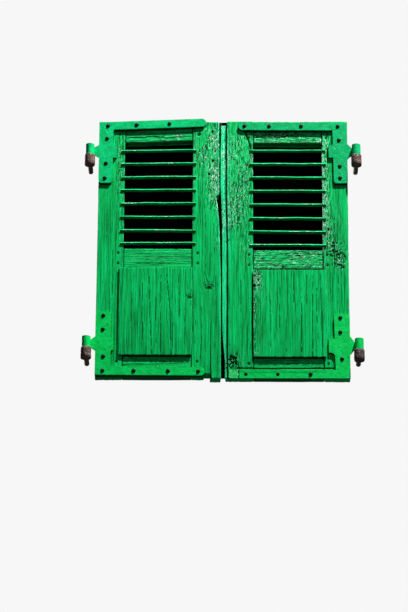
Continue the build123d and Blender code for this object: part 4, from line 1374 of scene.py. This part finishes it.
def makeRail(node, at):
    # a rail between the two stiles of its leaf, and the core behind its face
    low, high = boxOf(node)
    leaf = node.split("_")[0]
    inner, outer = boxOf(leaf + "_meeting_stile"), boxOf(leaf + "_hinge_stile")
    start, stop = (outer[1][0], inner[0][0]) if leaf == "left" else (inner[1][0], outer[0][0])
    rows = evenRows(start + 1.5, stop - 1.5, railShapeAt["step"])
    lowZ = low[2] + 0.3 + 0.4 * wander(rows, 35, at["seed"] + 41)
    highZ = high[2] - 0.3
    if node == "left_top_rail":
        lowZ = low[2] + 0.4 + 8.0 * (rows - start) / (stop - start) + 0.8 * wander(rows, 18, 99)
    board = {**railShapeAt, **at, "rows": rows, "straps": leaf}
    board["zones"] = [{"left": lowZ, "right": highZ, "columns": 38}]
    if "bottom" in node:
        panelFoot = boxOf(leaf + "_panel")[0][2]
        board["carve"] = lambda a, l: (0.0 * a, panelFootShade(a, panelFoot))
    if node == "right_bottom_rail":
        lineLow, lineHigh = rotLineAt["low"], rotLineAt["low"] + rotLineAt["height"]
        board["carve"] = lambda a, l: (0.0 * a, np.maximum(shadeAtRotLine(a), panelFootShade(a, panelFoot)))
        board["zones"] = [
            {"left": lowZ, "right": lineLow, "columns": 10, "rounded": (True, False)},
            {
                "left": lineLow + 0.02, "right": lineHigh, "columns": 2, "sink": rotLineAt["depth"],
                "rounded": (False, False),
            },
            {"left": lineHigh + 0.02, "right": highZ, "columns": 28, "rounded": (False, True)},
        ]

    # the core runs on into both stiles, so that nothing shows through the end gaps
    reach, inset = railCoreAt["reach"], railCoreAt["inset"]
    coreRows = evenRows(start - reach, stop + reach, railCoreAt["step"])
    coreLow = np.interp(coreRows, rows, lowZ) + inset
    core = {**railCoreAt, "seed": at["seed"] + 1, "rows": coreRows}
    core["zones"] = [{"left": coreLow, "right": high[2] - inset, "columns": 2}]
    return [makeBoard(board), makeBoard(core)]


for railNode, railAt in railsAt.items():
    leafBody = railNode.split("_")[0] + "_leaf"
    railBoards = makeRail(railNode, railAt)
    makePiece(pieceName(railNode), leafBody, [railNode], railBoards, railWood)
print("rails made")

# Board panels: a front layer that laps over its neighbours, and the board behind it
panelsAt = {
    "left_panel": {
        "seed": 101, "wear": 0.05, "knots": [(-104, -139, 11, 1.8)],
        "cracks": [
            ([(-255.8, -64), (-252, -339)], 1.0, 1.8),
            ([(-234.6, -70), (-230, -200), (-222.6, -339)], 1.1, 2.0),
            ([(-197, -64), (-194.4, -339)], 1.0, 1.6),
            ([(-178, -64), (-166, -200), (-163, -339)], 1.2, 2.4),
            ([(-160.8, -120), (-158.4, -330)], 0.9, 1.4),
            ([(-290, -90), (-288, -240)], 0.8, 1.0),
            ([(-212, -140), (-210, -300)], 0.8, 1.0),
            ([(-140, -64), (-138, -210)], 0.8, 1.2),
            ([(-120, -180), (-122, -330)], 0.8, 1.0),
        ],
        "worn": [(-130, -110, 18, 40, 0.2), (-150, -300, 60, 40, 0.1)],
    },
    "right_panel": {
        "seed": 107, "wear": 0.08, "highDark": 0.85,
        "cracks": [
            ([(223.8, -63), (223.3, -160)], 1.0, 1.6),
            ([(248.6, -132), (247, -345)], 1.1, 2.2),
            ([(284, -63), (281.5, -345)], 0.9, 1.2),
            ([(307.7, -63), (311, -200), (314.4, -345)], 1.0, 1.6),
            ([(180, -90), (178, -260)], 0.8, 1.0),
            ([(150, -150), (151, -330)], 0.8, 1.0),
            ([(200, -200), (198, -340)], 0.8, 1.0),
            ([(265, -63), (264, -190)], 0.8, 1.0),
            ([(296, -110), (298, -300)], 0.8, 1.2),
        ],
        "worn": [
            (104, -70, 14, 26, 0.8), (112, -95, 12, 24, 0.6), (100, -200, 6, 120, 0.45),
            (112, -215, 20, 120, 0.27), (104, -335, 12, 18, 0.6), (140, -140, 30, 40, 0.2),
        ],
        "pits": [(101, -66, 3.4, 2.2), (100, -100, 4.2, 2.6), (112, -80, 2.6, 1.8)],
    },
}
panelShapeAt = {
    "face": -41.0, "back": -36.02, "grain": "z", "step": 2.5, "radius": 1.3, "sideColumns": 3,
    # painted shade at the front layer's foot
    "lowDark": 0.95, "inset": 0.2,
}
panelBackAt = {
    "face": -33.2, "back": -20.0, "grain": "z", "step": 6.0, "radius": 1.0, "sideColumns": 3,
    "reach": 3.0,
}


def makePanel(node, at):
    # the front layer as large as the CAD box, and a board behind it that runs a little into its neighbours
    low, high = boxOf(node)
    leaf = node.split("_")[0]
    inset, reach = panelShapeAt["inset"], panelBackAt["reach"]
    front = {**panelShapeAt, **at, "rows": evenRows(low[2] + inset, high[2], panelShapeAt["step"])}
    front["zones"] = [{"left": low[0] + inset, "right": high[0] - inset, "columns": 120}]

    hingeSide = boxOf(leaf + "_hinge_stile")
    left, right = low[0], high[0]
    if leaf == "left":
        left = hingeSide[1][0] + inset
    else:
        right = hingeSide[0][0] - inset
    railTop = boxOf(leaf + "_bottom_rail")[1][2]
    behind = {**panelBackAt, "seed": at["seed"] + 1}
    behind["rows"] = evenRows(railTop - reach, high[2] + reach, panelBackAt["step"])
    behind["zones"] = [{"left": left - reach, "right": right + reach, "columns": 60}]
    return [makeBoard(front), makeBoard(behind)]


for panelNode, panelAt in panelsAt.items():
    leafBody = panelNode.split("_")[0] + "_leaf"
    panelBoards = makePanel(panelNode, panelAt)
    makePiece(pieceName(panelNode), leafBody, [panelNode], panelBoards, panelWood)
print("panels made")

# Louvre slats: their size and slope, the nicks in their noses, and how far their two ends are out of level
slatAt = {
    "depth": 38.5, "thickness": 10.0, "slope": 32.0, "raggedTop": 0.8,
    "shadeFrom": 9.0, "shadeFade": 4.0, "shade": 0.88,
    "nicks": {"left_slat_8": [(-126.9, 5.0, 2.6)], "right_slat_3": [(180.0, 4.0, 1.6)]},
    "lift": {
        "left": (0.0, 0.0, -1.0, 0.8, 0.3, -0.5, -1.0, 0.5),
        "right": (1.7, 1.7, 0.7, 0.5, 0.4, -0.4, 0.3, 1.2),
    },
    "liftEnd": {
        "left": (3.4, 3.6, 2.4, 3.2, 1.5, 0.0, -1.2, 1.6),
        "right": (1.7, 1.2, 0.7, 1.2, -0.2, -1.0, -0.8, 0.0),
    },
}
# painted highlight along the slats' edges, painted shade on their undersides and noses
slatShapeAt = {
    "face": 0.3, "back": slatAt["thickness"] - 0.2, "grain": "x", "step": 2.6, "radius": 0.9,
    "relief": 0.4, "sideColumns": 5, "wear": 0.35, "sideWear": 0.10, "edgeWear": 0.5,
    "edgeBleach": 0.35, "backDark": 0.75, "lowSideDark": 0.5,
}
slatCount = 8


def makeSlat(leaf, number, at):
    # made lying flat: across runs from its nose to its back edge, then it is tipped to its slope
    node = f"{leaf}_slat_{number}"
    low, high = boxOf(node)
    slope = math.radians(at["slope"])
    noseY, noseZ = low[1], high[2] - at["depth"] * math.sin(slope)
    rows = evenRows(low[0] + 0.2, high[0] - 0.2, slatShapeAt["step"])
    seed = 200 + 9 * (number + (slatCount if leaf == "right" else 0))
    nick = np.zeros(rows.shape)
    for place, width, depth in at["nicks"].get(node, ()):
        nick += depth * np.exp(-((rows - place) / width) ** 2)
    ragged = at["raggedTop"] * 0.5 * (1 + wander(rows, 6, seed))
    nose = 0.5 + ragged + 0.4 * wander(rows, 2.9, seed + 1) + nick
    share = (rows - rows[0]) / (rows[-1] - rows[0])
    lift = at["lift"][leaf][number - 1] * (1 - share) + at["liftEnd"][leaf][number - 1] * share
    sag = lift + 0.7 * wander(rows, 60, seed + 2)

    def tip(v):
        # turned by the slope about the nose, and lifted by the sag at each place along
        across, under = v[..., 2], v[..., 1]
        y = noseY + across * math.cos(slope) + under * math.sin(slope)
        z = noseZ + across * math.sin(slope) - under * math.cos(slope) + np.interp(v[..., 0], rows, sag)
        return np.stack([v[..., 0], y, z], -1)

    board = {**slatShapeAt, "seed": seed, "rows": rows, "turn": tip}
    # painted highlight over the top face, and painted shade on it from 9 mm behind the nose on, where the
    # slat above shades it
    board["zones"] = [{"left": nose, "right": at["depth"] - 0.2, "columns": 14, "bleach": 0.2}]
    board["carve"] = lambda a, l: (0.0 * a, at["shade"] * fadeIn(a - at["shadeFrom"], at["shadeFade"]))
    return makeBoard(board)


for leafName in ("left", "right"):
    for slatNumber in range(1, slatCount + 1):
        slatNode = f"{leafName}_slat_{slatNumber}"
        slat = makeSlat(leafName, slatNumber, slatAt)
        makePiece(pieceName(slatNode), leafName + "_leaf", [slatNode], [slat], slatWood)
print("slats made")


# Iron: softened copies of the straps and nuts, lathe-turned bolts, pegs and pintles
def setMaterial(mesh, material):
    # one material for the whole mesh
    mesh.materials.clear()
    mesh.materials.append(material)


# Distances in metres and angles in degrees for merging, dropping needless edges and bevelling
copyAt = {"merge": 2e-6, "flat": 1.0, "segments": 3, "bevelFrom": 38}


def ironCopy(name, node, body, material, width):
    # the CAD shape without its needless edges, with every edge bevelled by a width in metres
    mesh = frame["nodes"][node].data.copy()
    mesh.name = name
    setMaterial(mesh, material)
    work = bmesh.new()
    work.from_mesh(mesh)
    bmesh.ops.remove_doubles(work, verts=work.verts, dist=copyAt["merge"])
    flat = math.radians(copyAt["flat"])
    bmesh.ops.dissolve_limit(work, angle_limit=flat, verts=work.verts, edges=work.edges)
    work.to_mesh(mesh)
    work.free()
    piece = bpy.data.objects.new(name, mesh)
    bpy.context.collection.objects.link(piece)
    soften = piece.modifiers.new("softEdges", "BEVEL")
    soften.width, soften.segments, soften.limit_method = width, copyAt["segments"], "ANGLE"
    soften.angle_limit = math.radians(copyAt["bevelFrom"])
    mesh.shade_smooth()
    mesh.set_sharp_from_angle(angle=math.radians(sharpFrom["copy"]))
    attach(piece, body)
    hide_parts(node)


# How fast the unevenness changes round a turned piece, along it in millimetres, and from copy to copy
latheAt = {"round": 1.6, "along": 6, "copy": 7.3}


def latheMesh(name, profiles, segments, places, axis, uneven, seed):
    # each profile of (radius, height) turned round its axis at its place, the radius times 1 + uneven * noise
    angle = np.linspace(0, 2 * math.pi, segments, endpoint=False)
    cosine, sine = np.cos(angle)[None, :], np.sin(angle)[None, :]
    vertices, faces, start = [], [], 0
    for number, (profile, place) in enumerate(zip(profiles, places)):
        profile = np.array(profile, float)
        along = profile[:, 1:] / latheAt["along"] + number * latheAt["copy"]
        wobble = 1 + uneven * softNoise(cosine * latheAt["round"], sine * latheAt["round"], along, seed)
        ringA, ringB = profile[:, :1] * cosine * wobble, profile[:, :1] * sine * wobble
        height = np.repeat(profile[:, 1:], segments, 1)
        points = [ringA, height, ringB] if axis == "y" else [ringA, ringB, height]
        vertices.append((np.stack(points, -1) + np.array(place)).reshape(-1, 3))
        grid = np.arange(len(profile) * segments).reshape(len(profile), segments) + start
        turned = np.roll(grid, -1, 1)
        quads = np.stack([grid[:-1], turned[:-1], turned[1:], grid[1:]], -1).reshape(-1, 4).tolist()
        rings = quads + [grid[0][::-1].tolist(), grid[-1].tolist()]
        faces += [corners[::-1] for corners in rings] if axis == "y" else rings
        start += len(profile) * segments
    mesh = bpy.data.meshes.new(name)
    mesh.from_pydata((np.concatenate(vertices) * mm).tolist(), [], faces)
    mesh.shade_smooth()
    mesh.set_sharp_from_angle(angle=math.radians(sharpFrom["lathe"]))
    return mesh


def addIron(name, mesh, body, nodes, material):
    # a finished mesh as one object, at the origin
    setMaterial(mesh, material)
    piece = bpy.data.objects.new(name, mesh)
    bpy.context.collection.objects.link(piece)
    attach(piece, body)
    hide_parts(*nodes)


boltAt = {
    "headRadius": 6.6, "headHeight": 2.7, "crown": 2.4, "rim": 0.5, "shank": 3.0, "bevel": 0.6,
    "strapFace": -41.0, "end": 8.7, "segments": 20, "uneven": 0.05,
}
# two heads on the lower right arm are hammered small and flat
flatBoltAt = {**boltAt, "headRadius": 5.4, "headHeight": 1.5}
flatBolts = {"hinge": "right_bottom", "from": 60.0, "to": 210.0}
# how wide the softened edges are, in metres
strapBevel, nutBevel = 0.0009, 0.0004


def isFlatBolt(hinge, x):
    # whether a bolt of the hinge stands between the two places of the flat ones
    return hinge == flatBolts["hinge"] and flatBolts["from"] < x < flatBolts["to"]


def boltProfile(at):
    # cup head: height times the root of 1 - s^2.4 at each share s of its radius, then the bevelled shank
    radius, strapFace, shank, end = at["headRadius"], at["strapFace"], at["shank"], at["end"]
    shares = np.linspace(0.04, 1, 9)[:-1]
    head = [(radius * s, strapFace - at["headHeight"] * math.sqrt(1 - s ** at["crown"])) for s in shares]
    rim = [(radius, strapFace - at["rim"]), (radius - 0.1, strapFace)]
    return head + rim + [(shank, strapFace), (shank, end - at["bevel"]), (shank - at["bevel"], end)]


for hinge in ("left_top", "left_bottom", "right_top", "right_bottom"):
    hingeName = pieceName(hinge)
    body = hinge.split("_")[0] + "_leaf"
    ironCopy(hingeName + "Strap", hinge + "_hinge", body, strapPaints[hinge], strapBevel)
    places = [(x, 0.0, z) for x, z in islandPlaces(hinge + "_bolts")]
    profiles = [boltProfile(flatBoltAt if isFlatBolt(hinge, place[0]) else boltAt) for place in places]
    mesh = latheMesh(hingeName + "Bolts", profiles, boltAt["segments"], places, "y", boltAt["uneven"], 7)
    addIron(hingeName + "Bolts", mesh, body, [hinge + "_bolts"], boltShadePaint)
    ironCopy(hingeName + "Nuts", hinge + "_nuts", body, backPaint, nutBevel)
    setMaterial(frame["nodes"][hinge + "_washers"].data, backPaint)
print("straps and bolts made")

pegAt = {"tip": 1.2, "rim": 2.6, "radius": 3.4, "backRim": 2.9, "front": -34.9, "back": -0.25}


def pegProfile(at):
    # nearly flat at the front, bevelled at both ends
    front, back, radius = at["front"], at["back"], at["radius"]
    return [
        (at["tip"], front - 0.1), (at["rim"], front), (radius, front + 0.5), (radius, back - 0.3),
        (at["backRim"], back),
    ]


for leafName in ("left", "right"):
    places = [(x, 0.0, z) for x, z in pegPlaces[leafName]]
    mesh = latheMesh(leafName + "Pegs", [pegProfile(pegAt)] * len(places), 14, places, "y", 0.06, 3)
    addIron(leafName + "Pegs", mesh, leafName + "_leaf", [leafName + "_pegs"], pegPaint)
print("pegs made")

pintleAt = {
    "pin": 9.0, "collar": 17.0, "collarHeight": 38.0, "axis": 428.0, "y": -50.05,
    "flange": 10.2, "tail": 8.0, "tailEnd": 40.0, "tailZ": 337.0,
}


def makePintle(node, side, end, at):
    # the collar and pin turned about the hinge line, and the tail that lies level behind it, as one mesh
    low, high = boxOf(node)
    collar, pin, flange, tail, tailEnd = (at[key] for key in ("collar", "pin", "flange", "tail", "tailEnd"))
    bottom, top, pinEnd = low[2], low[2] + at["collarHeight"], high[2]
    standing = [
        (4.0, bottom + 0.6), (collar - 3.2, bottom + 0.1), (collar - 1.2, bottom + 0.9),
        (collar - 0.35, bottom + 2.6), (collar - 0.2, bottom + 12), (collar - 0.45, bottom + 20),
        (collar - 0.25, bottom + 29), (collar - 0.4, top - 2.2), (collar - 1.5, top - 0.6),
        (pin + 2.5, top), (pin, top), (pin, top + 0.2), (pin, pinEnd - 2.0),
        (pin - 0.8, pinEnd - 0.6), (pin - 2.6, pinEnd),
    ]
    lying = [
        (6.0, -46.0), (flange, -45.0), (flange, -31.1), (tail, -31.05), (tail, tailEnd - 2.5),
        (tail - 2.5, tailEnd),
    ]
    x = side * at["axis"]
    mesh = latheMesh(node, [standing], 40, [(x, at["y"], 0.0)], "z", 0.02, 13)
    tailMesh = latheMesh(node + "Tail", [lying], 28, [(x, 0.0, end * at["tailZ"])], "y", 0.0, 17)
    work = bmesh.new()
    work.from_mesh(mesh)
    work.from_mesh(tailMesh)
    work.to_mesh(mesh)
    work.free()
    mesh.shade_smooth()
    mesh.set_sharp_from_angle(angle=math.radians(sharpFrom["lathe"]))
    return mesh


for node, side, end, iron in (
    ("upper_left_pintle", -1, 1, pintleIron),
    ("lower_left_pintle", -1, -1, pintleIron),
    ("upper_right_pintle", 1, 1, pintleIron),
    ("lower_right_pintle", 1, -1, darkPintleIron),
):
    addIron(pieceName(node), makePintle(node, side, end, pintleAt), "pintles", [node], iron)

for node in ("latch_hook", "latch_pivot", "latch_staple"):
    setMaterial(frame["nodes"][node].data, latchIron)
print("pintles and latch made")
